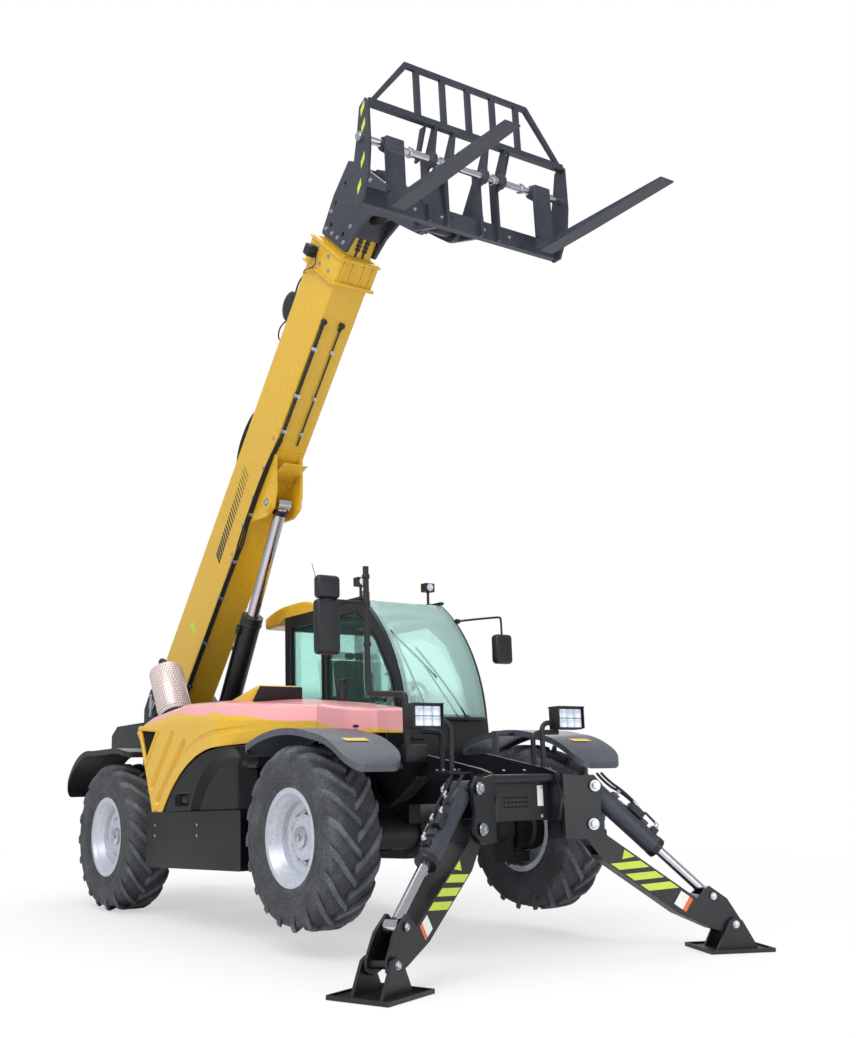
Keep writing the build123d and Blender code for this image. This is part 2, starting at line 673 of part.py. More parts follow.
def door_hinge_pins():
    """Cab-side halves of the door hinges, each pin standing through the door's knuckle."""
    high = cab_y[1]
    parts = []
    for z in door_hinge_z:
        pad = block((door_hinge[0] - 60, door_hinge[0] - 8), (high - 2, door_hinge[1] + 8),
                    (z - 40 - fit_gap, z - fit_gap))
        lug = block((door_hinge[0] - 10, door_hinge[0] + 8), (high + 6, door_hinge[1] + 8),
                    (z - 40 - fit_gap, z - fit_gap))
        parts.append(fuse([pad, lug, bar((*door_hinge, z - 5), (*door_hinge, z + 62), 6)]))
    return parts


def door_glass():
    return extrude(Pos(0, cab_y[1] - 26, 0) * door_outline(70 + fit_gap), amount=8, dir=(0, 1, 0))


def cab_glass():
    low, high = cab_y
    gap = fit_gap
    panes = []
    for face in window_outlines():
        panes.append(extrude(Pos(0, low + 18, 0) * face, amount=8, dir=(0, 1, 0)))
    panes.append(block((cab_rear + 18, cab_rear + 26), (low + 90 + gap, high - 90 - gap),
                       (1560 + gap, 2380 - gap)))
    panes.append(block((-2250 + gap, -1450 - gap), (low + 110 + gap, high - 110 - gap),
                       (cab_roof_z - 26, cab_roof_z - 18)))
    return panes


def windscreen():
    low, high = cab_y
    outer = extrude(Pos(0, low + 75 + fit_gap, 0) * cab_outline(12), amount=high - low - 150 - 2 * fit_gap,
                    dir=(0, 1, 0))
    inner = extrude(Pos(0, low, 0) * cab_outline(20), amount=high - low, dir=(0, 1, 0))
    return (outer - inner) & block((-1230 + fit_gap, -500), (low, high), (1500 + fit_gap, 2440 - fit_gap))


def cab_roof():
    low, high = cab_y
    rear = cab_rear - 380
    outline = [(rear, 2440), (rear + 60, 2560), (-2300, 2625), (-1340, 2625), (-1290, 2570),
               (-1320, cab_roof_z + fit_gap), (cab_rear, cab_roof_z + fit_gap), (cab_rear - fit_gap, 2430)]
    body = slab(outline, (low - 5, high + 5), 12)
    return body - block((cab_rear - fit_gap, -1000), (low - 10, high + 10), (2000, cab_roof_z + fit_gap))


keep("cab_frame", cab_frame())
keep("cab_door", cab_door())
keep("door_glass", door_glass())
keep("cab_glass", *cab_glass(), windscreen())
keep("cab_roof", cab_roof())


def seat():
    middle = (cab_y[0] + cab_y[1]) / 2
    floor = cab_floor + 45
    base = block((-2150, -1750), (middle - 170, middle + 170), (floor, floor + 260))
    cushion = block((-2200, -1680), (middle - 240, middle + 240), (floor + 260.3, floor + 380))
    back = slab([(-2180, floor + 380.3), (-2060, floor + 380.3), (-2200, floor + 1050),
                 (-2300, floor + 1050)], (middle - 230, middle + 230), 20)
    return base, fuse([cushion, back])


def steering_column():
    middle = (cab_y[0] + cab_y[1]) / 2
    floor = cab_floor + 45
    dash = slab([(-960, floor), (-760, floor), (-770, 1440), (-850, 1520), (-1000, 1500)],
                (cab_y[0] + 50, cab_y[1] - 50), 15)
    column = bar((-960, middle, 1440), (-1240, middle, 1640), 35)
    wheel = Pos(-1240, middle, 1640) * Rot(0, -54, 0) * Rot(90, 0, 0) * ring(
        [(169, -8), (177, -16), (193, -16), (201, -8), (201, 8), (193, 16), (177, 16), (169, 8)])
    spokes = Pos(-1240, middle, 1640) * Rot(0, -54, 0) * (
        Box(360, 40, 16) + Cylinder(45, 30))
    return fuse([dash, column, wheel, spokes])


seat_base, seat_cushion = seat()
keep("seat_base", seat_base)
keep("driver_seat", seat_cushion)
keep("steering_column", steering_column())


# ---- engine bay ---------------------------------------------------------------------------
def hood_side(inset=0):
    """Side outline of the hood: leaning tail, crowned top, open front and swept lower edge."""
    rear, front = hood_x
    return [
        (rear + 360 + inset, 802 - inset), (rear + inset, 1600), ("arc", rear + 50 + inset, 1700 - inset),
        (-2520, 1745 - inset), ("arc", -2000, 1772 - inset), (-1400, 1738 - inset),
        ("arc", -800, 1688 - inset), (front + inset, 1600 - inset), (front + inset, 1345 - inset),
        (-560, 1305 - inset), (-1180, 1267 - inset), ("arc", -1740, 1105 - inset), (-2083, 802 - inset),
    ]


def hood_cross(inset=0):
    """Section of the hood across the machine: flat inner side, round shoulder, plumb outer side."""
    outer, inner = hood_y
    return [
        Line((0, outer + inset, 500), (0, outer + inset, 1440)),
        ThreePointArc((0, outer + inset, 1440), (0, outer + 70 + inset, 1640 - inset),
                      (0, outer + 260, 1735 - inset)),
        ThreePointArc((0, outer + 260, 1735 - inset), (0, outer + 520, 1778 - inset),
                      (0, inner - 9, 1770 - inset)),
        Line((0, inner - 9, 1770 - inset), (0, inner + 1 + 20 * (inset > 0), 500)),
        Line((0, inner + 1 + 20 * (inset > 0), 500), (0, outer + inset, 500)),
    ]


def hood_form(inset, x, y):
    side = extrude(Pos(0, y[0], 0) * outline(hood_side(inset)), amount=y[1] - y[0], dir=(0, 1, 0))
    return side & extrude(Pos(x[0], 0, 0) * make_face(hood_cross(inset)), amount=x[1] - x[0], dir=(1, 0, 0))


def hood():
    rear, front = hood_x
    outer, inner = hood_y
    shell = hood_form(0, (rear - 10, front + 10), hood_y)
    hollow = slab([(rear + 380, 700), (rear + hood_wall, 1600), (rear + 70, 1690), (-2500, 1725),
                   (-1400, 1720), (front + 20, 1580), (front + 20, 700)], (outer, inner + 20))
    space = extrude(Pos(rear - 10, 0, 0) * make_face(hood_cross(hood_wall)), amount=front - rear + 40,
                    dir=(1, 0, 0))
    shell = shell - (hollow & space)
    vent = slab([(-2554, 1514), (-2203, 1492), (-2445, 1256)], (outer - 5, outer + 60), 18)
    for rise, length in hood_grooves:
        start = Pos(-2290 + rise, outer - 5, 1180 - 0.62 * rise) * Rot(0, -58, 0)
        shell = shell - start * Pos(0, 4, 0) * Box(length, 16, 14)
    return shell - vent


def scoop():
    """Raised air intake on the hood, open to the front."""
    front, rear = -1060, -1720
    y = (-800, -420)
    low = 1640
    skin = shape_slab([(rear, low), ("arc", rear + 200, 1800), (rear + 420, 1842), (front, 1842), (front, low)], y)
    skin = fillet(skin.edges().filter_by(Axis.X).sort_by(Axis.Z)[-2:], 30)
    mouth = block((front - 420, front + 10), (y[0] + 14, y[1] - 14), (1700, 1826))
    return skin - mouth


def hood_hinges(side):
    """Hinge knuckles along the inner top edge: the hood's, or the bay's with their pins."""
    y, z = hood_hinge
    parts = []
    for x in (-2350, -700):
        if side == "hood":
            arm = block((x, x + 60), (y - 40, y), (z - 8, z + 8))
            parts.append(arm + bar((x, y, z), (x + 60, y, z), 11) - bar((x, y, z), (x + 60, y, z), 6.3))
        else:
            foot_plate = block((x - 50, x - fit_gap), (y - 5, y + 5), (1680, z))
            pin = bar((x - 50, y, z), (x + 62, y, z), 6)
            parts.append(fuse([foot_plate, bar((x - 50, y, z), (x - fit_gap, y, z), 11), pin]))
    return parts


def bay():
    """Fixed engine bay: inner wall, floor, front bulkhead nose and lower side panel."""
    outer, inner = hood_y
    wall = block((-2690, -130), (inner + 4, inner + 14), (deck_z + fit_gap, 1690))
    tray = block((-2330, -660), (outer + 60, inner + 14), (deck_z + fit_gap, deck_z + 30))
    return fuse([wall, tray] + hood_hinges("bay"))


keep("engine_block", block((-2100, -1150), (-900, -420), (deck_z + 30 + fit_gap, deck_z + 500)))
nose_profile = [(hood_x[1] + 6, 1600), (-120, 1545), (nose_x, 1500), (nose_x + 20, 1330),
                (hood_x[1] + 6, 1330)]
keep("hood_nose", slab(nose_profile, (7 - fender_y[0], hood_y[1] + 3.7), 20))
side_panel = shape_slab(
    [(-2060, 800), (-780, 800), (-740, 1240), (-1190, 1240), ("arc", -1722, 1078), (-2045, 815)],
    (hood_y[0] + 18, hood_y[0] + 62))
side_panel = side_panel - block((-1840, -1640), (hood_y[0], hood_y[0] + 40), (850, 930))
keep("engine_bay", fuse([bay(), side_panel]))
keep("engine_hood", fuse([hood(), scoop()] + hood_hinges("hood")))
keep("skirt_right", slab([(bay_rear, 372), (-760, 372), (-760, 799.7), (bay_rear, 799.7)], skirt_y, 25))
keep("tank_left", slab([(bay_rear, 380), (-900, 380), (-900, 1000), (bay_rear, 1000)], tank_y, 30))


# ---- fenders, deck and small equipment ----------------------------------------------------
def fender(arch, corner, arm_x, arm_z, under_z):
    """Curved guard over a wheel from an arched (x, z) line: a shallow tray with round corners,
    its rim turned down all round, on an arm from the chassis rail."""
    thickness, lip = 12, 45
    y = fender_y
    middle = ((arch[0][0] + arch[-1][0]) / 2, (y[0] + y[1]) / 2)
    size = (arch[-1][0] - arch[0][0] - 2, y[1] - y[0])

    def lowered(depth):
        return [(*point[:-1], point[-1] - depth) for point in arch]

    def tray(top, bottom, inset):
        plan = RectangleRounded(size[0] - 2 * inset, size[1] - 2 * inset, corner - inset)
        prism = extrude(Pos(*middle, 400) * plan, amount=1500)
        return prism & shape_slab(lowered(top) + lowered(bottom)[::-1], y)

    x = (arm_x - 30, arm_x + 30)
    foot = rail_y + plate + fit_gap
    arm = [
        block(x, (foot, 590), (arm_z, arm_z + 30)), block(x, (570, 590), (arm_z, under_z)),
        block(x, (570, y[1] - 200), (under_z - 14, under_z + 2)),
    ]
    return fuse([tray(0, lip, 0) - tray(thickness, lip + 40, thickness)] + arm)


front_arch = [(-640, 1215), ("arc", -150, 1330), (330, 1285), ("arc", 620, 1190), (790, 1055)]
rear_arch = [(-3990, 1000), ("arc", -3780, 1262), (-3400, 1345), (-2900, 1345), ("arc", -2760, 1330), (-2640, 1300)]
keep("front_fenders", *both(fender(front_arch, 120, 60, 1050, 1318)))
keep("rear_fenders", *both(fender(rear_arch, 60, -3150, 1120, 1333)))


def rear_body():
    """Right rear deck behind the hood, with the muffler's base."""
    side = [(-4110, 1400), (-4060, 1350), (-2770, 1350), (-2770, 1600), (-3980, 1600), (-4110, 1520)]
    return slab(side, (-720, -rail_y - fit_gap), 25)


keep("rear_body", rear_body())
keep("counterweight", slab([(-4480, 700), (-4420, 560), (-3960, 560), (-3960, 1180), (-4480, 1180)],
                           (-640, -rail_y - plate - fit_gap), 30),
     slab([(-4480, 700), (-4420, 560), (-3960, 560), (-3960, 1180), (-4480, 1180)],
          (rail_y + plate + fit_gap, 640), 30))
muffler_frame = frame_xz(-3150, 1601, 68, -580)
shield = Rot(0, 90, 0) * revolve(make_face(Polyline(
    *[(0, 0, z) if r == 0 else (r, 0, z) for r, z in (
        (0, 80), (128, 80), (150, 120), (150, 440), (118, 500), (0, 500))], close=True)), axis=Axis.Z)
outlet = pipe([(490, 0, 0), (590, 0, 0), (640, 0, 90)], 40, 34)
keep("muffler", muffler_frame * (shield + outlet) + bar((-3120, -580, 1600.3), (-3120, -580, 1720), 60))


def light_posts():
    tubes = [
        pipe([(800, 400, 1008), (800, 400, 1330), (790, 540, 1330)], 60, 18),
        pipe([(700, 400, 1008), (700, 400, 1270), (740, 600, 1270)], 60, 18),
    ]
    base = bar((755, 400, 1000.3), (755, 400, 1012), 90)
    head = block((760, 850), (510, 740), (1285, 1435))
    return fuse([base, head] + tubes)


keep("front_work_lights", *both(light_posts()))


def right_mirror():
    mast = pipe([(360, -450, 1150), (360, -450, 1540), (-100, -450, 1590), (-100, -450, 2530)], 90, 22)
    arm = bar((-100, -450, 2250), (-80, -800, 2250), 14)
    foot_block = block((320, 400), (-480, -rail_y - plate - fit_gap), (1080, 1200))
    big = block((-110, -50), (-900, -700), (1860, 2246))
    small = block((-110, -50), (-880, -700), (2254, 2420))
    return fuse([mast, arm, foot_block, big, small])


keep("mirrors", right_mirror(), fuse([block((-1110, -1050), (cab_y[1] + fit_gap, cab_y[1] + 14), (2300, 2360)),
                     bar((-1080, cab_y[1] + 8, 2330), (-740, 1350, 2330), 10),
                          block((-770, -710), (1260, 1440), (1940, 2180)),
                          bar((-740, 1350, 2170), (-740, 1350, 2335), 10)]))
roof_lights = [block((-1420, -1350), y, (2625.3, 2700)) for y in ((300, 400), (1010, 1110))]
beacon = bar((-2300, 1000, 2625.3), (-2300, 1000, 2760), 45)
keep("roof_lights", *roof_lights, beacon)


# ---- stand as parked ----------------------------------------------------------------------
boxes = [(stand * solid).bounding_box() for solids in nodes.values() for solid in solids]
middle_x = (min(box.min.X for box in boxes) + max(box.max.X for box in boxes)) / 2
to_row = Pos(-middle_x, 0, 0) * stand
for name, solids in nodes.items():
    placed = [to_row * solid for solid in solids]
    export_step(placed[0] if len(placed) == 1 else Compound(children=placed), f"parts/{name}.step")
print(len(nodes), "nodes, centre shift", round(middle_x, 2))
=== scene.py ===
from math import atan2, cos, hypot, pi, radians, sin

import bmesh
import bpy
from mathutils import Matrix, Vector


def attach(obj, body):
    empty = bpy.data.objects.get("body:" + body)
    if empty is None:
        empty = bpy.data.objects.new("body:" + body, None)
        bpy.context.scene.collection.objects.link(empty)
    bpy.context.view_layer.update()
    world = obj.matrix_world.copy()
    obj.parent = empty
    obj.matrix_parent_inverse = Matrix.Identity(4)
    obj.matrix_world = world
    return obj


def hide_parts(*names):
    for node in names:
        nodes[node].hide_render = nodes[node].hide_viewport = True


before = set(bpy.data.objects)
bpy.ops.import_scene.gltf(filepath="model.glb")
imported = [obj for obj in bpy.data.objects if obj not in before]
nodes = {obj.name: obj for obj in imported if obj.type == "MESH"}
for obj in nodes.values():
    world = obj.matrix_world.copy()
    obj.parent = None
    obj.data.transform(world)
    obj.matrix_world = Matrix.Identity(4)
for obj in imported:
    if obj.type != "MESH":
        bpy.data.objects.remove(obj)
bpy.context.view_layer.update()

# ---- camera, floor and light ---------------------------------------------------------------
# A tall studio view from low in front of the machine's right corner, on a pale floor, with
# one wide soft lamp above, a weaker one behind it and an even pale room all round.
camera = bpy.data.objects.new("camera", bpy.data.cameras.new("camera"))
bpy.context.scene.collection.objects.link(camera)
camera.location = (9.0095, -5.6171, 1.3479)
camera.rotation_euler = [radians(turn) for turn in (100.113, 0.112, 53.825)]
camera.data.lens = 44.6
camera.data.clip_end = 300
bpy.context.scene.camera = camera
bpy.context.scene.view_settings.view_transform = "Standard"


def hex_colour(text):
    """Linear colour of an sRGB hex value."""
    channels = [int(text[i:i + 2], 16) / 255 for i in (1, 3, 5)]
    linear = [c / 12.92 if c <= 0.04045 else ((c + 0.055) / 1.055) ** 2.4 for c in channels]
    return (*linear, 1.0)


def add(tree, kind, inputs=None, **settings):
    """Adds a shader node with its settings; an input given as a socket is linked."""
    node = tree.nodes.new("ShaderNode" + kind)
    for name, value in settings.items():
        setattr(node, name, value)
    for name, value in (inputs or {}).items():
        if isinstance(value, bpy.types.NodeSocket):
            tree.links.new(value, node.inputs[name])
        else:
            node.inputs[name].default_value = value
    return node


room = bpy.data.worlds.new("room")
bpy.context.scene.world = room
room.use_nodes = True
tree = room.node_tree
rays = add(tree, "LightPath")
seen = add(tree, "Math", {0: rays.outputs["Is Camera Ray"], 1: rays.outputs["Is Transmission Ray"]},
           operation="MAXIMUM")
pale = tree.nodes["Background"]
pale.inputs["Color"].default_value = hex_colour("#F4F6FA")
pale.inputs["Strength"].default_value = 0.62
backdrop = add(tree, "Background", {"Color": (1, 1, 1, 1), "Strength": 1.0})
both_rooms = add(tree, "MixShader", {0: seen.outputs[0], 1: pale.outputs[0], 2: backdrop.outputs[0]})
tree.links.new(both_rooms.outputs[0], tree.nodes["World Output"].inputs["Surface"])

for name, size, strength, place in (
    ("key_lamp", 9.0, 1050, (5.5, -8.5, 10.5)), ("top_lamp", 10.0, 560, (-2.0, 2.0, 13.0)),
    ("rear_lamp", 8.0, 300, (-9.0, 6.0, 6.0)), ("low_lamp", 6.0, 170, (9.5, 1.0, 1.6)),
):
    lamp = bpy.data.objects.new(name, bpy.data.lights.new(name, "AREA"))
    lamp.data.size = size
    lamp.data.energy = strength
    lamp.location = place
    lamp.rotation_euler = (Vector((0, 0, 1.5)) - lamp.location).to_track_quat("-Z", "Y").to_euler()
    bpy.context.scene.collection.objects.link(lamp)

floor_mesh = bmesh.new()
bmesh.ops.create_grid(floor_mesh, x_segments=1, y_segments=1, size=60)
floor_data = bpy.data.meshes.new("floor")
floor_mesh.to_mesh(floor_data)
floor = bpy.data.objects.new("floor", floor_data)
floor.location.z = -0.002
bpy.context.scene.collection.objects.link(floor)
pale_floor = bpy.data.materials.new("pale_floor")
pale_floor.use_nodes = True
tree = pale_floor.node_tree
tree.nodes["Principled BSDF"].inputs["Base Color"].default_value = hex_colour("#F2F2F2")
tree.nodes["Principled BSDF"].inputs["Roughness"].default_value = 0.9
white = add(tree, "Emission", {"Color": (1, 1, 1, 1), "Strength": 1.0})
far = add(tree, "VectorMath", {0: add(tree, "TexCoord").outputs["Object"]}, operation="LENGTH")
fade = add(tree, "MapRange", {"Value": far.outputs["Value"], "From Min": 2.5, "From Max": 9.0, "To Min": 0.55,
                              "To Max": 1.0})
under = add(tree, "LightPath")
share = add(tree, "Math", {0: under.outputs["Is Camera Ray"], 1: fade.outputs[0]}, operation="MULTIPLY")
shaded = add(tree, "MixShader", {0: share.outputs[0], 1: tree.nodes["Principled BSDF"].outputs[0],
                                 2: white.outputs[0]})
tree.links.new(shaded.outputs[0], tree.nodes["Material Output"].inputs["Surface"])
floor_data.materials.append(pale_floor)

# ---- tyres ----------------------------------------------------------------------------------
# Industrial traction tyres, 1.22 m across and 0.4 m wide: a moulded carcass with stepped side
# walls, and long slanted lugs that meet in staggered chevrons and wrap onto the shoulders.


def start_finish(name, values):
    """A new material: its tree and its surface shader with these socket values."""
    finish = bpy.data.materials.new(name)
    finish.use_nodes = True
    shader = finish.node_tree.nodes["Principled BSDF"]
    for socket, value in values.items():
        shader.inputs[socket].default_value = value
    return finish, finish.node_tree, shader


def weathered(name, main, dusty, values, patch=1.6, grain=420.0, grain_depth=0.0002, wear=0.35):
    """A coated surface: main colour, its dusty patches, roughness drift and a fine relief."""
    finish, tree, shader = start_finish(name, values)
    place = add(tree, "TexCoord").outputs["Object"]
    cloud = add(tree, "TexNoise", {"Vector": place, "Scale": patch, "Detail": 7.0, "Roughness": 0.62})
    speck = add(tree, "TexNoise", {"Vector": place, "Scale": patch * 22, "Detail": 4.0})
    mixed = add(tree, "Math", {0: cloud.outputs["Fac"], 1: speck.outputs["Fac"]}, operation="MULTIPLY")
    share = add(tree, "MapRange", {"Value": mixed.outputs[0], "From Min": 0.2, "From Max": 0.42,
                                   "To Min": 0.0, "To Max": wear})
    colour = add(tree, "Mix", {0: share.outputs[0], 6: hex_colour(main), 7: hex_colour(dusty)},
                 data_type="RGBA")
    tree.links.new(colour.outputs[2], shader.inputs["Base Color"])
    rough = values.get("Roughness", 0.5)
    drift = add(tree, "MapRange", {"Value": cloud.outputs["Fac"], "From Min": 0.3, "From Max": 0.7,
                                   "To Min": rough - 0.07, "To Max": rough + 0.12})
    tree.links.new(drift.outputs[0], shader.inputs["Roughness"])
    peel = add(tree, "TexNoise", {"Vector": place, "Scale": grain, "Detail": 2.0})
    relief = add(tree, "Bump", {"Height": peel.outputs["Fac"], "Strength": 0.35, "Distance": grain_depth})
    tree.links.new(relief.outputs[0], shader.inputs["Normal"])
    return finish


def round_over(bm, edges, width, segments=2):
    """Rounds edges to a width."""
    bmesh.ops.bevel(bm, geom=list(edges), offset=width, offset_type="OFFSET", segments=segments,
                    profile=0.5, affect="EDGES", material=-1, clamp_overlap=True)


def turned(bm, profile, place=Matrix(), steps=32):
    """Closed turned form from (radius, height) points, about the Z axis of place."""
    spots = [bm.verts.new(place @ Vector((r, 0, h))) for r, h in profile]
    lines = [bm.edges.new(pair) for pair in zip(spots, spots[1:] + spots[:1])]
    bmesh.ops.spin(bm, geom=spots + lines, cent=place.translation, axis=place.col[2].to_3d(),
                   angle=2 * pi, steps=steps, use_merge=True, use_duplicate=False)
    bmesh.ops.remove_doubles(bm, verts=bm.verts[:], dist=0.00002)


wheelbase = 3.1
axle_height = 0.61
tyre_y = 1.0
tyre_radius = 0.61
lug_count = 19
# Cured tyre rubber: dull, dusty patches 0.2 m wide and a 4 mm bloom.
tyre_rubber = weathered("tyre_rubber", "#404347", "#80838A", {"Roughness": 0.7}, 5.0, 260, 0.0008, 0.7)
wall = [(0.3005, 0.150), (0.3290, 0.150), (0.3290, 0.174), (0.345, 0.186), (0.362, 0.190),
        (0.366, 0.1955), (0.384, 0.1965), (0.388, 0.193), (0.44, 0.1985), (0.452, 0.2),
        (0.456, 0.197), (0.50, 0.197), (0.535, 0.192), (0.56, 0.178), (0.572, 0.150),
        (0.578, 0.08), (0.579, 0.0)]


def lug():
    """One lug, from just past the middle of the tread to the shoulder, wrapped round the tyre."""
    bm = bmesh.new()
    made = bmesh.ops.create_cube(bm, size=1.0)
    bmesh.ops.scale(bm, vec=(0.058, 0.212, 0.05), verts=made["verts"])
    along = [edge for edge in bm.edges if abs((edge.verts[0].co - edge.verts[1].co).y) > 0.1]
    bmesh.ops.subdivide_edges(bm, edges=along, cuts=6, use_grid_fill=True)
    top = {edge for edge in bm.edges if all(vert.co.z > 0 for vert in edge.verts)
           and len(edge.link_faces) == 2 and edge.calc_face_angle(0.0) > 0.5}
    round_over(bm, top, 0.007)
    for vert in bm.verts:
        out = vert.co.y + 0.093
        lift = vert.co.z + 0.025
        narrow = 1.12 - 7.0 * lift
        share = max(0.0, out - 0.128) / 0.07
        radius = 0.562 + lift * 0.96 - 0.052 * share ** 2
        swing = (vert.co.x * narrow * (1.0 + 0.25 * share) - 0.95 * out - 1.2 * out ** 2) / tyre_radius
        vert.co = Vector((radius * sin(swing), min(out, 0.1985), radius * cos(swing)))
    return bm


def tyre():
    """Carcass with both rows of lugs; crest says how far up a lug each vertex is."""
    bm = bmesh.new()
    outline = [(r, y) for r, y in wall] + [(r, -y) for r, y in reversed(wall[:-1])]
    turned(bm, outline, Matrix(), 72)
    bmesh.ops.rotate(bm, cent=(0, 0, 0), matrix=Matrix.Rotation(radians(-90), 3, "X"), verts=bm.verts[:])
    for side in (1, -1):
        one = lug()
        if side < 0:
            bmesh.ops.scale(one, vec=(1, -1, 1), verts=one.verts[:])
            bmesh.ops.reverse_faces(one, faces=one.faces[:])
        stamp = bpy.data.meshes.new("stamp")
        one.to_mesh(stamp)
        one.free()
        for step in range(lug_count):
            before = set(bm.verts)
            bm.from_mesh(stamp)
            fresh = [vert for vert in bm.verts if vert not in before]
            turn = 2 * pi * (step + 0.25 * side) / lug_count
            bmesh.ops.rotate(bm, cent=(0, 0, 0), matrix=Matrix.Rotation(turn, 3, "Y"), verts=fresh)
        bpy.data.meshes.remove(stamp)
    layer = bm.verts.layers.float.new("crest")
    for vert in bm.verts:
        reach = abs(vert.co.y)
        base = 0.579 if reach < 0.08 else 0.579 - 0.028 * ((reach - 0.08) / 0.1) ** 2
        vert[layer] = min(1.0, max(0.0, (hypot(vert.co.x, vert.co.z) - base - 0.002) / 0.024))
    return bm


# The tops of the lugs are scrubbed paler, and the ground between them is darkened with painted shade.
tree = tyre_rubber.node_tree
shader = tree.nodes["Principled BSDF"]
crest = add(tree, "Attribute", attribute_name="crest")
lug_wear_and_painted_shade = add(tree, "MapRange", {"Value": crest.outputs["Fac"], "To Min": 0.62, "To Max": 1.25})
worn_and_shaded = add(tree, "Mix", {0: 1.0, 6: shader.inputs["Base Color"].links[0].from_socket, 7: lug_wear_and_painted_shade.outputs[0]},
           data_type="RGBA", blend_type="MULTIPLY")
tree.links.new(worn_and_shaded.outputs[2], shader.inputs["Base Color"])


# ---- rims, hubs and axles -------------------------------------------------------------------
# Pressed and welded steel rims with stepped deep dishes, sprayed silver, each held by ten wheel
# nuts round a turned hub cap; behind them black cast hubs, steering rods and drive shafts.

# Sizes are written for the level chassis; this turns them nose up about the rear axle.
level_front_axle = 1.36699
nose_up = 2.84
to_row = (Matrix.Translation((level_front_axle - wheelbase, 0, axle_height))
          @ Matrix.Rotation(radians(-nose_up), 4, "Y") @ Matrix.Translation((wheelbase, 0, -axle_height)))
# Moulded black plastic: matt, patches 0.25 m wide and a 1 mm grain.
black_plastic = weathered("black_moulded_plastic", "#14161A", "#303338", {"Roughness": 0.45}, 4.0, 900, 0.0004)
# Black paint under oil and dust: blotches 0.2 m wide and 5 mm lumps of dirt.
grimy_black = weathered("oily_black_paint", "#111316", "#35332E", {"Roughness": 0.5}, 5.0, 200, 0.0006, 0.7)
# Zinc-plated steel: bright, slightly cloudy in patches of 0.12 m.
bright_zinc = weathered("zinc_plated_steel", "#C6C9CE", "#8F9194", {"Roughness": 0.28, "Metallic": 1.0}, 8, 600)


def paint_node(finish, *names):
    """Gives CAD nodes a finish."""
    for name in names:
        data = nodes[name].data
        data.materials.clear()
        data.materials.append(finish)


def rod(bm, start, end, radius, sides=20, width=0.0, tip=None):
    """Round or many-sided bar between two points, its rims rounded."""
    start, end = Vector(start), Vector(end)
    axis = end - start
    place = Matrix.Translation((start + end) / 2) @ axis.to_track_quat("Z", "Y").to_matrix().to_4x4()
    made = bmesh.ops.create_cone(bm, cap_ends=True, segments=sides, radius1=radius,
                                 radius2=radius if tip is None else tip, depth=axis.length, matrix=place)
    if width:
        rims = {edge for vert in made["verts"] for edge in vert.link_edges
                if any(len(face.verts) == sides and sides > 4 for face in edge.link_faces)}
        round_over(bm, rims, width)


def hex_nut(bm, spot, axis, across=0.024, height=0.012):
    """Hexagon head with its washer, on a face at spot."""
    spot, axis = Vector(spot), Vector(axis).normalized()
    rod(bm, spot, spot + axis * height * 0.25, across * 0.72, 16)
    rod(bm, spot + axis * height * 0.2, spot + axis * height, across / 1.732, 6, 0.001)


def piece(name, body, finish, bm, place=Matrix(), side=1, sharp=0.6):
    """Ends a piece: placed, mirrored to the right for side -1, shaded and hung on its body."""
    bmesh.ops.transform(bm, matrix=place, verts=bm.verts[:])
    if side < 0:
        bmesh.ops.scale(bm, vec=(1, -1, 1), verts=bm.verts[:])
    bmesh.ops.transform(bm, matrix=to_row, verts=bm.verts[:])
    bmesh.ops.recalc_face_normals(bm, faces=bm.faces[:])
    for edge in bm.edges:
        edge.smooth = edge.calc_face_angle(0.0) < sharp
    for face in bm.faces:
        face.smooth = True
    data = bpy.data.meshes.new(name)
    bm.to_mesh(data)
    bm.free()
    data.materials.append(finish)
    made = bpy.data.objects.new(name, data)
    bpy.context.scene.collection.objects.link(made)
    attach(made, body)
    return made


sides = (("left", 1), ("right", -1))
silver_paint = weathered("silver_wheel_paint", "#C9CDD6", "#8E9096", {"Roughness": 0.4, "Metallic": 0.35},
                         3.0, 350, 0.0002, 0.5)
for end, x in (("front", 0.0), ("rear", -wheelbase)):
    for side, sign in sides:
        wheel = f"wheel_{end}_{side}"
        at_hub = Matrix.Translation((x, tyre_y, axle_height))
        rubber = piece(f"tyre_{end}_{side}_tread", wheel, tyre_rubber, tyre(), at_hub, sign, 0.5)
        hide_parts(f"tyre_{end}_{side}")
        paint_node(silver_paint, f"rim_{end}_{side}")
        paint_node(grimy_black, f"knuckle_{end}_{side}")
        nuts = bmesh.new()
        for step in range(10):
            turn = 2 * pi * step / 10
            hex_nut(nuts, (0.166 * sin(turn), 0.034, 0.166 * cos(turn)), (0, 1, 0), 0.027, 0.022)
        rod(nuts, (0, 0.078, 0), (0, 0.096, 0), 0.07, 32, 0.005)
        hex_nut(nuts, (0, 0.095, 0), (0, 1, 0), 0.04, 0.016)
        piece(f"wheel_nuts_{end}_{side}", wheel, bright_zinc, nuts, at_hub, sign)
        valve = bmesh.new()
        rod(valve, (0.255, 0.10, 0.02), (0.262, 0.14, 0.02), 0.006, 10, 0.001)
        piece(f"tyre_valve_{end}_{side}", wheel, black_plastic, valve, at_hub, sign)
        caps = bmesh.new()
        for height in (-1, 1):
            rod(caps, (0, 0, height * 0.253), (0, 0, height * 0.268), 0.06, 24, 0.004)
            for step in range(4):
                turn = pi * (step + 0.5) / 2
                hex_nut(caps, (0.043 * sin(turn), 0.043 * cos(turn), height * 0.268), (0, 0, height), 0.016, 0.009)
        at_pin = Matrix.Translation((x, 0.765, axle_height))
        piece(f"kingpin_caps_{end}_{side}", "chassis", grimy_black, caps, at_pin, sign)
paint_node(grimy_black, "front_axle", "rear_axle", "pivot_pins")
shafts = bmesh.new()
rod(shafts, (-2.62, 0, 0.62), (-0.48, 0, 0.62), 0.045, 24, 0.004)
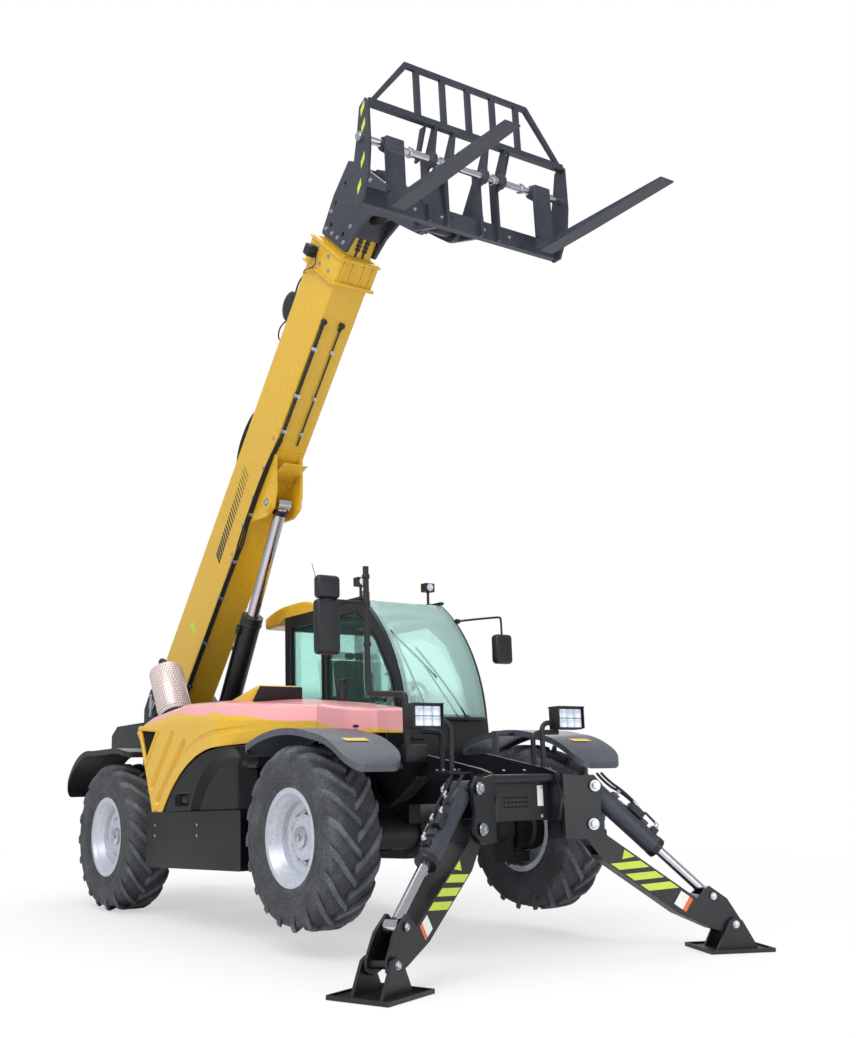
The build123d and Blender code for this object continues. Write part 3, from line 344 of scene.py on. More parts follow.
for x in (-2.55, -1.55, -0.55):
    rod(shafts, (x - 0.05, 0, 0.62), (x + 0.05, 0, 0.62), 0.075, 24, 0.008)
piece("drive_shafts", "chassis", grimy_black, shafts)
rods = bmesh.new()
for sign in (1, -1):
    rod(rods, (-0.165, sign * 0.25, 0.53), (-0.165, sign * 0.60, 0.53), 0.016, 16, 0.003)
piece("steering_rods_front", "chassis", bright_zinc, rods)

# ---- chassis --------------------------------------------------------------------------------
# Thick flame-cut rails and boom tower in black powder coat, with the boom pins' keeper plates,
# bolts and the hydraulic hoses that hang in loops behind the front axle.
# Black powder coat: satin, with dusty patches 0.45 m wide and a 2 mm texture.
black_coat = weathered("black_powder_coat", "#0F1216", "#24282E", {"Roughness": 0.38}, 2.2, 500, 0.0003)
# Extruded rubber: dull black with a fine 0.8 mm texture.
hose_rubber = weathered("hose_rubber", "#101113", "#26272B", {"Roughness": 0.48}, 12, 1200, 0.0003)


def box(bm, low, high, width=0.0, segments=2, turn=None):
    """Block between two corners, its edges rounded, turned about its own centre."""
    low, high = Vector(low), Vector(high)
    place = Matrix.Translation((low + high) / 2)
    if turn is not None:
        place = place @ turn
    size = high - low
    made = bmesh.ops.create_cube(bm, size=1.0, matrix=place @ Matrix.Diagonal((*size, 1)))
    if width:
        round_over(bm, {edge for vert in made["verts"] for edge in vert.link_edges}, width, segments)


def hose(bm, points, radius, sides=3):
    """Round hose or pipe on one smooth line through its control points."""
    line = bpy.data.curves.new("line", "CURVE")
    line.dimensions = "3D"
    line.bevel_depth = radius
    line.bevel_resolution = sides
    line.resolution_u = 8
    line.use_fill_caps = True
    spline = line.splines.new("NURBS")
    spline.points.add(len(points) - 1)
    for spot, point in zip(spline.points, points):
        spot.co = (*point, 1)
    spline.order_u = 3
    spline.use_endpoint_u = True
    holder = bpy.data.objects.new("line", line)
    made = bpy.data.meshes.new_from_object(holder)
    bm.from_mesh(made)
    bpy.data.objects.remove(holder)
    bpy.data.curves.remove(line)
    bpy.data.meshes.remove(made)


boom_pivot = (-4.15, 0, 1.82)
paint_node(black_coat, "chassis_frame", "stabiliser_beam", "rear_body", "counterweight", "seat_base")
if "pivot_pins" in nodes:
    paint_node(bright_zinc, "pivot_pins")
keepers = bmesh.new()
for sign in (1, -1):
    y = sign * 0.304
    for x, z in ((-4.15, 1.82), (-3.606, 0.9)):
        near, far = sorted((y, y + sign * 0.01))
        box(keepers, (x - 0.02, near, z - 0.11), (x + 0.02, far, z + 0.11), 0.003)
        for height in (-0.09, 0.09):
            hex_nut(keepers, (x, y + sign * 0.01, z + height), (0, sign, 0), 0.02, 0.011)
piece("pin_keepers", "chassis", bright_zinc, keepers)
loops = bmesh.new()
for sign in (1, -1):
    for step in range(4):
        y = sign * (0.30 + 0.035 * step)
        hose(loops, [(-0.28, y, 1.0), (-0.22, y + sign * 0.02, 0.84), (0.02, y + sign * 0.05, 0.80 - 0.02 * step),
                     (0.24, y + sign * 0.02, 0.86), (0.42, y, 0.98)], 0.013)
piece("front_axle_hoses", "chassis", hose_rubber, loops)
lamps = bmesh.new()
lenses = bmesh.new()
for sign in (1, -1):
    y = sign * 0.55
    box(lamps, (-4.50, y - 0.075, 0.96), (-4.478, y + 0.075, 1.10), 0.006)
    box(lenses, (-4.512, y - 0.065, 1.035), (-4.498, y + 0.065, 1.09), 0.004)
piece("rear_lamp_housings", "chassis", black_plastic, lamps)
red_lens, tree, shader = start_finish("red_acrylic_lens", {"Roughness": 0.15, "Transmission Weight": 0.3})
ribs = add(tree, "TexWave", {"Vector": add(tree, "TexCoord").outputs["Object"], "Scale": 60.0}, bands_direction="Y")
tint = add(tree, "Mix", {0: ribs.outputs["Fac"], 6: hex_colour("#A81414"), 7: hex_colour("#D62B22")}, data_type="RGBA")
tree.links.new(tint.outputs[2], shader.inputs["Base Color"])
piece("rear_lamp_lenses", "chassis", red_lens, lenses)

# ---- stabiliser beam ------------------------------------------------------------------------
# Front cross panel of folded plate with cooling slots, four corner bolts and two bare plates;
# silver retaining nuts close the pins of both clevises, and round bolted bases carry the posts.
# Blank white vinyl: smooth and slightly yellowed.
white_vinyl = weathered("white_vinyl_label", "#E9E9E6", "#C9C7C0", {"Roughness": 0.4}, 5, 900, 0.00005)
leg_pivot = Vector((1.08, 0.518, 0.636))
splay = radians(22)
clevis = Matrix.Translation(leg_pivot) @ Matrix.Rotation(radians(90) - splay, 4, "Z")
panel_bolts = bmesh.new()
for y in (-0.2, 0.2):
    for z in (0.70, 0.885):
        hex_nut(panel_bolts, (0.987, y, z), (1, 0, 0), 0.018, 0.009)
for y in (-0.09, 0.09):
    hex_nut(panel_bolts, (0.955, y, 1.0), (0, 0, 1), 0.016, 0.008)
piece("front_panel_bolts", "chassis", bright_zinc, panel_bolts)
blanks = bmesh.new()
box(blanks, (0.9875, 0.165, 0.765), (0.9905, 0.215, 0.90), 0.001)
box(blanks, (1.045, -0.3185, 0.80), (1.090, -0.3155, 0.88), 0.001)
piece("front_blank_labels", "chassis", white_vinyl, blanks)
for side, sign in sides:
    nuts = bmesh.new()
    for x, z, size in ((0, 0, 0.05), (0.024, 0.251, 0.045)):
        for y in (-0.121, 0.121):
            out = 1 if y > 0 else -1
            rod(nuts, (x, y, z), (x, y + 0.008 * out, z), 0.04, 24, 0.003)
            hex_nut(nuts, (x, y + 0.008 * out, z), (0, out, 0), size, 0.02)
    piece(f"clevis_pin_nuts_{side}", "chassis", bright_zinc, nuts, clevis, sign)
    base_bolts = bmesh.new()
    for step in range(6):
        turn = 2 * pi * step / 6
        hex_nut(base_bolts, (0.755 + 0.072 * cos(turn), 0.40 + 0.072 * sin(turn), 1.012), (0, 0, 1), 0.015, 0.009)
    piece(f"light_post_bolts_{side}", "chassis", bright_zinc, base_bolts, Matrix(), sign)

# ---- stabiliser legs and feet ---------------------------------------------------------------
# Tapered box legs with reflective slanted bars and a blank label on the front flank, pins with
# silver heads, and welded foot plates on the ground.
# Orange vinyl: smooth and slightly faded.
orange_vinyl = weathered("orange_vinyl_label", "#E0722A", "#B8602E", {"Roughness": 0.4}, 5, 900, 0.00005)
# Lime reflective film: smooth, a little brighter than paint.
lime_vinyl = weathered("lime_reflective_film", "#C3D743", "#A6B63C", {"Roughness": 0.32}, 4, 900, 0.0001)


def plate(bm, outline, depth, width=0.0):
    """Flat plate from (x, y, z) corners, pushed out by a depth vector."""
    face = bm.faces.new([bm.verts.new(corner) for corner in outline])
    made = bmesh.ops.extrude_face_region(bm, geom=[face])
    risen = [item for item in made["geom"] if isinstance(item, bmesh.types.BMVert)]
    bmesh.ops.translate(bm, vec=Vector(depth), verts=risen)
    if width:
        round_over(bm, {edge for vert in risen for edge in vert.link_edges}, width)


leg_drop = radians(35.1)
leg_length = 1.207
leg_frame = clevis @ Matrix.Rotation(leg_drop, 4, "Y")
leg_face = 0.0783
for side, sign in sides:
    paint_node(black_coat, f"stabiliser_leg_{side}", f"stabiliser_foot_{side}")
    bars = bmesh.new()
    for face in (1, -1):
        y = face * leg_face
        plate(bars, [(0.305, y, -0.075), (0.37, y, -0.012), (0.285, y, -0.012)], (0, face * 0.0008, 0))
        for step in range(3):
            x = 0.25 + 0.125 * step
            plate(bars, [(x, y, -0.145), (x + 0.075, y, -0.145), (x + 0.245, y, -0.012), (x + 0.17, y, -0.012)],
                  (0, face * 0.0008, 0))
    piece(f"leg_warning_bars_{side}", f"leg_{side}", lime_vinyl, bars, leg_frame, sign)
    labels = bmesh.new()
    tops = bmesh.new()
    for face in (1, -1):
        y = face * leg_face
        plate(labels, [(0.77, y, -0.12), (0.84, y, -0.12), (0.84, y, -0.02), (0.77, y, -0.02)], (0, face * 0.0008, 0))
        plate(tops, [(0.84, y, -0.12), (0.87, y, -0.12), (0.87, y, -0.02), (0.84, y, -0.02)], (0, face * 0.0008, 0))
    piece(f"leg_blank_label_{side}", f"leg_{side}", white_vinyl, labels, leg_frame, sign)
    piece(f"leg_label_band_{side}", f"leg_{side}", orange_vinyl, tops, leg_frame, sign)
    heads = bmesh.new()
    for y in (-0.109, 0.109):
        out = 1 if y > 0 else -1
        hex_nut(heads, (leg_length, y, 0), (0, out, 0), 0.034, 0.016)
        hex_nut(heads, (0.985, out * 0.0865, 0.075), (0, out, 0), 0.032, 0.012)
    piece(f"leg_pin_heads_{side}", f"leg_{side}", bright_zinc, heads, leg_frame, sign)

# ---- stabiliser cylinders -------------------------------------------------------------------
# Black cylinders over the legs with a holding-valve block, two hoses that follow the barrel and
# silver elbows; the chromed rod runs to its eye in the leg.
# Slate enamel on welded plate: satin, patches 0.4 m wide and a 2.5 mm peel.
frame_grey = weathered("slate_grey_enamel", "#2E323C", "#565A66", {"Roughness": 0.42}, 2.6, 400, 0.0003)
# Hard chrome on a ground rod: mirror bright, faintly clouded every 0.3 m.
hard_chrome = weathered("hard_chrome", "#C9C6CC", "#A7A0A8", {"Roughness": 0.11, "Metallic": 1.0}, 3.0, 300, 0.00005)
pin_rise = Vector((0.024, 0, 0.251))
rod_eye = Matrix.Rotation(leg_drop, 4, "Y") @ Vector((0.985, 0, 0.075))
run = rod_eye - pin_rise
barrel_frame = clevis @ Matrix.Translation(pin_rise) @ Matrix.Rotation(-atan2(run.z, run.x), 4, "Y")
for side, sign in sides:
    paint_node(frame_grey, f"leg_cylinder_barrel_{side}")
    paint_node(hard_chrome, f"leg_cylinder_rod_{side}")
    collar = bmesh.new()
    rod(collar, (0.60, 0, 0), (0.641, 0, 0), 0.0725, 32, 0.002)
    box(collar, (0.30, -0.05, 0.066), (0.42, 0.03, 0.118), 0.006)
    box(collar, (0.52, -0.028, 0.062), (0.57, 0.028, 0.10), 0.005)
    piece(f"leg_valve_block_{side}", f"leg_cylinder_{side}", black_coat, collar, barrel_frame, sign)
    elbows = bmesh.new()
    for x, y in ((0.33, -0.03), (0.39, 0.01), (0.545, 0.0), (0.19, 0.0)):
        rod(elbows, (x, y, 0.10), (x, y, 0.135), 0.011, 12, 0.001)
        rod(elbows, (x + 0.004, y, 0.128), (x - 0.03, y, 0.128), 0.010, 12, 0.001)
        hex_nut(elbows, (x, y, 0.112), (0, 0, 1), 0.024, 0.012)
    rod(elbows, (0.25, 0.045, 0.085), (0.47, 0.045, 0.085), 0.007, 12)
    piece(f"leg_valve_fittings_{side}", f"leg_cylinder_{side}", bright_zinc, elbows, barrel_frame, sign)
    lines = bmesh.new()
    hose(lines, [(0.30, -0.03, 0.128), (0.2, -0.035, 0.13), (0.08, -0.04, 0.11), (0.0, -0.05, 0.115)], 0.009)
    hose(lines, [(0.36, 0.01, 0.128), (0.24, 0.015, 0.135), (0.1, 0.03, 0.10), (0.0, 0.03, 0.115)], 0.009)
    hose(lines, [(0.515, 0.0, 0.128), (0.47, 0.0, 0.13), (0.43, -0.01, 0.13), (0.42, -0.02, 0.125)], 0.008)
    piece(f"leg_cylinder_hoses_{side}", f"leg_cylinder_{side}", hose_rubber, lines, barrel_frame, sign)

# ---- boom -----------------------------------------------------------------------------------
# Folded and welded yellow box section: ribbed and bolted collar at its mouth, dark banded panel
# along both flanks, steel pipes with clamps underneath, a hose bundle along the right edge, a
# hose loop on top and a black spring reel near the tip.
# Baked yellow enamel: glossy, with dusty patches 0.9 m wide. Its 1 mm orange peel is drawn at
# 3 mm, as fine as it can be and still show.
yellow_enamel = weathered("yellow_enamel", "#DDB028", "#BB9429",
                          {"Roughness": 0.34, "Coat Weight": 0.35, "Coat Roughness": 0.12}, 1.1, 300, 0.0002)
# Charcoal vinyl band: smooth, dusty over the yellow.
dark_vinyl = weathered("charcoal_vinyl_band", "#3B3A30", "#5A5641", {"Roughness": 0.42}, 3, 900, 0.00005)
boom_rise = radians(48.88)
boom_frame = Matrix.Translation(boom_pivot) @ Matrix.Rotation(-boom_rise, 4, "Y")
half_width = 0.173
half_height = 0.273
paint_node(yellow_enamel, "boom_outer", "lift_bracket", "boom_middle", "boom_inner")
hatches = bmesh.new()
for sign in (1, -1):
    y = sign * (half_width + 0.0002)
    out = (0, sign * 0.0008, 0)
    for step in range(22):
        x = 1.69 + 0.043 * step
        thin = 0.034 - 0.0012 * step
        plate(hatches, [(x, y, -0.085 + 0.0018 * step), (x + thin, y, -0.085 + 0.0018 * step),
                        (x + thin + 0.04, y, 0.035 + 0.0025 * step), (x + 0.04, y, 0.035 + 0.0025 * step)], out)
piece("boom_side_hatching", "boom", dark_vinyl, hatches, boom_frame)
tips = bmesh.new()
for sign in (1, -1):
    y = sign * (half_width + 0.0002)
    plate(tips, [(0.90, y, -0.11), (0.955, y, -0.09), (0.985, y, 0.02), (0.93, y, 0.05)], (0, sign * 0.0008, 0))
piece("boom_side_markers", "boom", lime_vinyl, tips, boom_frame)
collar_bolts = bmesh.new()
for sign in (1, -1):
    for x, z in ((4.665, 0.18), (4.665, 0.0), (4.665, -0.18), (4.765, 0.1), (4.765, -0.1)):
        hex_nut(collar_bolts, (x, sign * 0.1985, z), (0, sign, 0), 0.026, 0.012)
for x in (1.9, 2.2, 2.5, 2.8, 3.1):
    for sign in (1, -1):
        rod(collar_bolts, (x, sign * 0.173, -0.235), (x, sign * 0.179, -0.235), 0.016, 16, 0.001)
piece("boom_collar_bolts", "boom", bright_zinc, collar_bolts, boom_frame)
gussets = bmesh.new()
for y in (-0.14, -0.055, 0.055, 0.14):
    box(gussets, (4.62, y - 0.006, -0.315), (4.81, y + 0.006, -0.297), 0.002)
box(gussets, (4.60, -0.198, -0.34), (4.625, 0.198, -0.297), 0.004)
box(gussets, (4.02, -0.10, half_height), (4.46, 0.10, half_height + 0.012), 0.003)
box(gussets, (2.52, -0.07, half_height), (3.18, 0.07, half_height + 0.01), 0.003)
piece("boom_weld_plates", "boom", yellow_enamel, gussets, boom_frame)
pipes = bmesh.new()
for y, start, end in ((-0.145, 3.06, 4.22), (-0.125, 3.06, 4.22), (0.045, 3.08, 4.22)):
    hose(pipes, [(start, y, -0.289), (start + 0.3, y, -0.289), (end - 0.3, y, -0.289), (end, y, -0.289)], 0.0075)
for y in (-0.135, 0.045):
    rod(pipes, (4.20, y, -0.275), (4.27, y, -0.308), 0.018, 16, 0.003)
    rod(pipes, (4.255, y, -0.274), (4.255, y, -0.315), 0.024, 16, 0.004)
piece("boom_pipes", "boom", grimy_black, pipes, boom_frame)
clamps = bmesh.new()
for y, width, places in ((-0.135, 0.03, (3.2, 3.55, 4.0)), (0.045, 0.018, (3.2, 3.55, 4.0)),
                         (-0.150, 0.036, (0.45, 0.95, 1.45, 1.85, 2.35))):
    for x in places:
        box(clamps, (x - 0.017, y - width, -0.303), (x + 0.017, y + width, -0.272), 0.003)
        hex_nut(clamps, (x, y, -0.303), (0, 0, -1), 0.013, 0.008)
piece("boom_pipe_clamps", "boom", bright_zinc, clamps, boom_frame)
bundle = bmesh.new()
for step in range(3):
    y = -0.166 + 0.016 * step
    hose(bundle, [(0.12, y, -0.30), (0.5, y, -0.288), (1.2, y, -0.286), (1.75, y, -0.286), (1.95, y, -0.292),
                  (2.05, y - 0.012 * (2 - step), -0.305), (2.3, y - 0.022, -0.288), (2.7, y - 0.022, -0.286),
                  (2.95, y - 0.010, -0.288), (3.12, y + 0.015, -0.289)], 0.0085)
piece("boom_hose_bundle", "boom", hose_rubber, bundle, boom_frame)
top_loop = bmesh.new()
for step in range(3):
    y = -0.11 + 0.022 * step
    hose(top_loop, [(3.16, y, 0.283), (3.10, y, 0.34), (2.98, y, 0.40 + 0.008 * step), (2.78, y, 0.42 + 0.008 * step),
                    (2.62, y, 0.39), (2.52, y, 0.33), (2.40, y, 0.29), (2.28, y, 0.283)], 0.011)
hose(top_loop, [(2.28, -0.09, 0.285), (1.6, -0.09, 0.283), (0.9, -0.09, 0.283), (0.2, -0.09, 0.283)], 0.011)
piece("boom_top_hoses", "boom", hose_rubber, top_loop, boom_frame)
reel = bmesh.new()
reel_place = Matrix.Translation((4.12, -0.07, 0.40)) @ Matrix.Rotation(radians(90), 4, "X")
turned(reel, [(0.0, 0.055), (0.03, 0.062), (0.10, 0.058), (0.132, 0.045), (0.137, 0.04), (0.137, 0.03),
              (0.118, 0.026), (0.118, -0.026), (0.137, -0.03), (0.137, -0.04), (0.10, -0.058), (0.0, -0.06)],
       reel_place, 40)
box(reel, (4.06, -0.115, 0.272), (4.18, -0.025, 0.30), 0.005)
box(reel, (4.09, -0.02, 0.29), (4.15, -0.008, 0.44), 0.004)
box(reel, (4.24, -0.10, 0.272), (4.36, 0.0, 0.33), 0.008)
rod(reel, (4.30, -0.05, 0.33), (4.36, -0.05, 0.40), 0.018, 14, 0.003)
rod(reel, (3.93, -0.05, 0.275), (3.98, -0.05, 0.33), 0.022, 14, 0.004)
piece("boom_hose_reel", "boom", black_plastic, reel, boom_frame)
reel_hoses = bmesh.new()
hose(reel_hoses, [(4.24, -0.07, 0.46), (4.32, -0.08, 0.46), (4.42, -0.10, 0.38), (4.50, -0.12, 0.32),
                  (4.58, -0.13, 0.312)], 0.008)
hose(reel_hoses, [(4.02, -0.10, 0.36), (3.92, -0.12, 0.44), (3.80, -0.12, 0.40), (3.82, -0.10, 0.32),
                  (3.93, -0.06, 0.29)], 0.007)
hose(reel_hoses, [(4.72, -0.215, 0.10), (4.66, -0.225, 0.02), (4.60, -0.225, 0.05), (4.55, -0.215, 0.16),
                  (4.50, -0.19, 0.25), (4.42, -0.12, 0.30)], 0.005)
piece("boom_reel_hoses", "boom", hose_rubber, reel_hoses, boom_frame)
beam_lamp = bmesh.new()
box(beam_lamp, (4.67, -0.29, 0.10), (4.77, -0.2, 0.20), 0.016, 3)
rod(beam_lamp, (4.72, -0.21, 0.15), (4.72, -0.198, 0.15), 0.02, 14)
piece("boom_work_light", "boom", black_plastic, beam_lamp, boom_frame)

# ---- lift cylinder and its bracket ----------------------------------------------------------
# One big black cylinder with a ribbed gland, hose pipes on its flank and a chromed rod; its eye
# sits between two yellow ears behind a bolted cover plate.
lift_base = Vector((-3.606, 0, 0.9))
lift_eye = Vector((2.58, 0, -0.475))
lift_run = boom_frame @ lift_eye - lift_base
lift_frame = Matrix.Translation(lift_base) @ Matrix.Rotation(-atan2(lift_run.z, lift_run.x), 4, "Y")
paint_node(black_coat, "lift_cylinder_barrel")
paint_node(hard_chrome, "lift_cylinder_rod")
gland = bmesh.new()
along_barrel = Matrix.Rotation(radians(90), 4, "Y")
for inner, outer, low, high in ((0.088, 0.1035, 1.795, 1.812), (0.060, 0.082, 1.832, 1.853),
                                (0.088, 0.098, 0.22, 0.25)):
    turned(gland, [(inner, low), (outer - 0.003, low), (outer, low + 0.003), (outer, high - 0.003),
                   (outer - 0.003, high), (inner, high)], along_barrel, 40)
hose(gland, [(0.30, -0.104, 0.0), (0.6, -0.104, 0.0), (1.4, -0.104, 0.0), (1.72, -0.104, 0.0)], 0.010)
for x in (0.45, 1.0, 1.55):
    box(gland, (x - 0.02, -0.116, -0.02), (x + 0.02, -0.088, 0.02), 0.003)
box(gland, (1.70, -0.125, -0.03), (1.78, -0.085, 0.03), 0.005)
piece("lift_cylinder_gland", "lift_cylinder", black_plastic, gland, lift_frame)
rod_cap = bmesh.new()
length = lift_run.length
turned(rod_cap, [(0.0565, -0.10), (0.066, -0.10), (0.070, -0.094), (0.070, -0.052), (0.0565, -0.05)],
       Matrix.Translation((length, 0, 0)) @ Matrix.Rotation(radians(90), 4, "Y"), 32)
piece("lift_rod_cap", "lift_rod", black_coat, rod_cap, lift_frame)
cover = bmesh.new()
slope = Matrix.Rotation(atan2(0.157, 0.29), 4, "Y")
box(cover, (2.72, -0.118, -0.402), (2.99, 0.118, -0.392), 0.003, 2, slope)
piece("lift_bracket_cover", "boom", yellow_enamel, cover, boom_frame)
cover_bolts = bmesh.new()
for along in (-0.115, 0.115):
    for y in (-0.1, 0.1):
        spot = Vector((2.855, y, -0.397)) + slope @ Vector((along, 0, -0.005))
        hex_nut(cover_bolts, spot, slope @ Vector((0, 0, -1)), 0.018, 0.009)
for sign in (1, -1):
    hex_nut(cover_bolts, (2.58, sign * 0.158, -0.475), (0, sign, 0), 0.05, 0.02)
piece("lift_bracket_bolts", "boom", bright_zinc, cover_bolts, boom_frame)

# ---- boom head ------------------------------------------------------------------------------
# Dark cast and plated nose of the inner stage: bolted side plates, two leaf chains with threaded
# ends at its mouth, the tilt cylinder between its plates and hoses that run to the carriage.
head_y = 0.1275
pivot = Vector((5.467, 0, -1.187))
paint_node(frame_grey, "boom_head")
head_bolts = bmesh.new()
for sign in (1, -1):
    for x, z in ((4.93, 0.17), (4.93, 0.05), (4.93, -0.06), (4.93, -0.18), (5.08, 0.19), (5.08, -0.2), (5.5, -0.25)):
        hex_nut(head_bolts, (x, sign * (head_y + 0.028), z), (0, sign, 0), 0.028, 0.013)
    hex_nut(head_bolts, (pivot.x, sign * (head_y + 0.045), pivot.z), (0, sign, 0), 0.06, 0.02)
piece("boom_head_bolts", "inner_stage", bright_zinc, head_bolts, boom_frame)
chains = bmesh.new()
for y in (-0.035, 0.035):
    for step in range(9):
        x = 4.90 + 0.034 * step
        box(chains, (x, y - 0.019, -0.245), (x + 0.028, y + 0.019, -0.222), 0.004)
    rod(chains, (4.85, y, -0.234), (4.90, y, -0.234), 0.008, 12)
piece("boom_chains", "inner_stage", grimy_black, chains, boom_frame)
tilt = bmesh.new()
rod(tilt, (5.10, 0, -0.05), (5.42, 0, -0.62), 0.06, 28, 0.006)
rod(tilt, (5.06, -0.10, -0.02), (5.06, 0.10, -0.02), 0.03, 20, 0.003)
piece("tilt_cylinder", "inner_stage", black_coat, tilt, boom_frame)
head_hoses = bmesh.new()
for step in range(3):
    y = 0.03 * (step - 1)
    hose(head_hoses, [(5.32, y, -0.33), (5.40, y, -0.42), (5.36, y + 0.01, -0.62), (5.33, y, -0.85), (5.36, y, -1.02)],
         0.010)
piece("boom_head_hoses", "inner_stage", hose_rubber, head_hoses, boom_frame)

# ---- fork carriage --------------------------------------------------------------------------
# Welded slate-grey carriage with a chromed fork shaft, whose paint-worn rails, end plates with
# slanted reflective bars and tall load guard stand behind two forged forks.
shaft_frame = Matrix.Translation((0.713, 0, 5.458)) @ Matrix.Rotation(radians(-1.74), 4, "Y")
carriage_half = 0.946
paint_node(frame_grey, "carriage_frame", "forks", "load_guard")
paint_node(hard_chrome, "fork_shaft")
end_bars = bmesh.new()
for sign in (1, -1):
    y = sign * (carriage_half + 0.0003)
    for low in (-0.42, -0.24, 0.02, 0.16):
        x = -0.10 + 0.16 * (low + 0.48) / 0.5 if low < -0.1 else 0.0
        x = min(x, 0.02)
        plate(end_bars, [(x, y, low), (x + 0.05, y, low + 0.06), (x + 0.05, y, low + 0.115), (x, y, low + 0.055)],
              (0, sign * 0.0008, 0))
piece("carriage_warning_bars", "carriage", lime_vinyl, end_bars, shaft_frame)
shaft_ends = bmesh.new()
for sign in (1, -1):
    hex_nut(shaft_ends, (0, sign * (carriage_half + 0.025), 0), (0, sign, 0), 0.05, 0.016)
    for y in (0.53, 0.25):
        rod(shaft_ends, (0, sign * y - 0.012, 0), (0, sign * y + 0.012, 0), 0.042, 28, 0.003)
for y in (-0.45, -0.2, 0.2, 0.45):
    hex_nut(shaft_ends, (-0.0745, y, -0.40), (1, 0, 0), 0.018, 0.008)
piece("carriage_fittings", "carriage", bright_zinc, shaft_ends, shaft_frame)
hangers = bmesh.new()
for y in (-0.7, 0.7):
    rod(hangers, (0, y - 0.078, 0), (0, y + 0.078, 0), 0.050, 32, 0.005)
    box(hangers, (0.028, y - 0.078, -0.40), (0.070, y + 0.078, 0.035), 0.006)
for y in (-0.33, -0.16, 0.16, 0.33):
    rod(hangers, (0, y - 0.022, 0), (0, y + 0.022, 0), 0.056, 28, 0.005)
piece("fork_hangers", "carriage", frame_grey, hangers, shaft_frame)
pivot_tube = bmesh.new()
rod(pivot_tube, (5.467, -0.176, -1.187), (5.467, 0.176, -1.187), 0.062, 32, 0.006)
piece("carriage_pivot_tube", "carriage", black_coat, pivot_tube, boom_frame)
stays = bmesh.new()
for y in (-0.4, 0.4):
    plate(stays, [(-0.11, y - 0.01, 0.0), (-0.06, y - 0.01, 0.0), (0.04, y - 0.01, 0.235), (-0.02, y - 0.01, 0.235)],
          (0, 0.02, 0), 0.002)
piece("carriage_stays", "carriage", frame_grey, stays, shaft_frame)

# ---- cab glass and shell --------------------------------------------------------------------
# Black welded cab with a yellow rear roof, green-tinted safety glass in rubber seals, a door
# with grab bars and handle, wipers, and small lamps on the roof.
cab_y = (0.28, 1.125)
paint_node(black_coat, "cab_frame", "cab_door")
# Green-tinted safety glass: clear and glossy, with smears 0.3 m wide.
tinted_glass, tree, shader = start_finish("green_tinted_glass", {
    "Base Color": hex_colour("#86B5AA"), "Roughness": 0.03, "Transmission Weight": 0.9, "IOR": 1.1,
    "Alpha": 0.62, "Specular IOR Level": 0.6})
smear = add(tree, "TexNoise", {"Vector": add(tree, "TexCoord").outputs["Object"], "Scale": 3.0, "Detail": 5.0})
haze = add(tree, "MapRange", {"Value": smear.outputs["Fac"], "From Min": 0.35, "From Max": 0.75, "To Min": 0.02,
                              "To Max": 0.12})
tree.links.new(haze.outputs[0], shader.inputs["Roughness"])
paint_node(tinted_glass, "door_glass")
# The windscreen's paler colour is a painted reflection of the sky, and it lets less through.
screen_glass = tinted_glass.copy()
screen_glass.name = "windscreen_glass_painted_reflection"
shader = screen_glass.node_tree.nodes["Principled BSDF"]
shader.inputs["Base Color"].default_value = hex_colour("#CDEEE8")
shader.inputs["Transmission Weight"].default_value = 0.45
shader.inputs["Alpha"].default_value = 0.62

panes = bmesh.new()
for corners in (((-1.89, 1.49), (-2.43, 1.49), (-2.43, 2.39), (-1.89, 2.39)),
                ((-1.84, 1.49), (-1.84, 2.39), (-1.365, 2.39), (-1.07, 2.125), (-0.87, 1.80), (-0.79, 1.49))):
    plate(panes, [(x, 0.298, z) for x, z in corners], (0, 0.008, 0))
box(panes, (-2.532, 0.371, 1.561), (-2.524, 1.034, 2.379))
side_panes = piece("side_and_rear_panes", "chassis", tinted_glass, panes)
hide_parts("cab_glass")


def arc_through(a, b, c):
    """Centre and radius of the circle through three points."""
    (ax, ay), (bx, by), (cx, cy) = a, b, c
    d = 2 * (ax * (by - cy) + bx * (cy - ay) + cx * (ay - by))
    sq = [px * px + py * py for px, py in (a, b, c)]
    ox = (sq[0] * (by - cy) + sq[1] * (cy - ay) + sq[2] * (ay - by)) / d
    oy = (sq[0] * (cx - bx) + sq[1] * (ax - cx) + sq[2] * (bx - ax)) / d
    return (ox, oy), hypot(ax - ox, ay - oy)


(screen_x, screen_z), screen_radius = arc_through((-1.27, 2.49), (-0.88, 2.06), (-0.70, 1.48))
bent_share = 0.68
screen_start = atan2(1.47 - screen_z, -0.697 - screen_x)
screen_end = atan2(2.485 - screen_z, -1.262 - screen_x)


def screen_point(x, y, z):
    """Windscreen sheet: an arc up from the sill, then back over the roof as a skylight."""
    share = x / bent_share
    if share < 1:
        turn = screen_start + (screen_end - screen_start) * share
        reach = screen_radius + 0.006
        return screen_x + reach * cos(turn), y, screen_z + reach * sin(turn)
    back = (x - bent_share) / (1 - bent_share)
    return -1.262 - 0.60 * back, y, 2.493 + 0.02 * min(1.0, 3 * back)


def thick(made, wall, offset=-1.0):
    """Gives a sheet or a moulded skin its wall, inwards."""
    solid = made.modifiers.new("wall", "SOLIDIFY")
    solid.thickness = wall
    solid.offset = offset
    return made


screen = bmesh.new()
low, high = cab_y[0] + 0.028, cab_y[1] - 0.028
place = Matrix(((1, 0, 0, 0.5), (0, high - low, 0, (low + high) / 2), (0, 0, 1, 0), (0, 0, 0, 1)))
bmesh.ops.create_grid(screen, x_segments=40, y_segments=8, size=0.5, matrix=place)
for vert in screen.verts:
    vert.co = screen_point(*vert.co)
windscreen = thick(piece("windscreen", "chassis", screen_glass, screen, sharp=3.0), 0.005, 0.0)

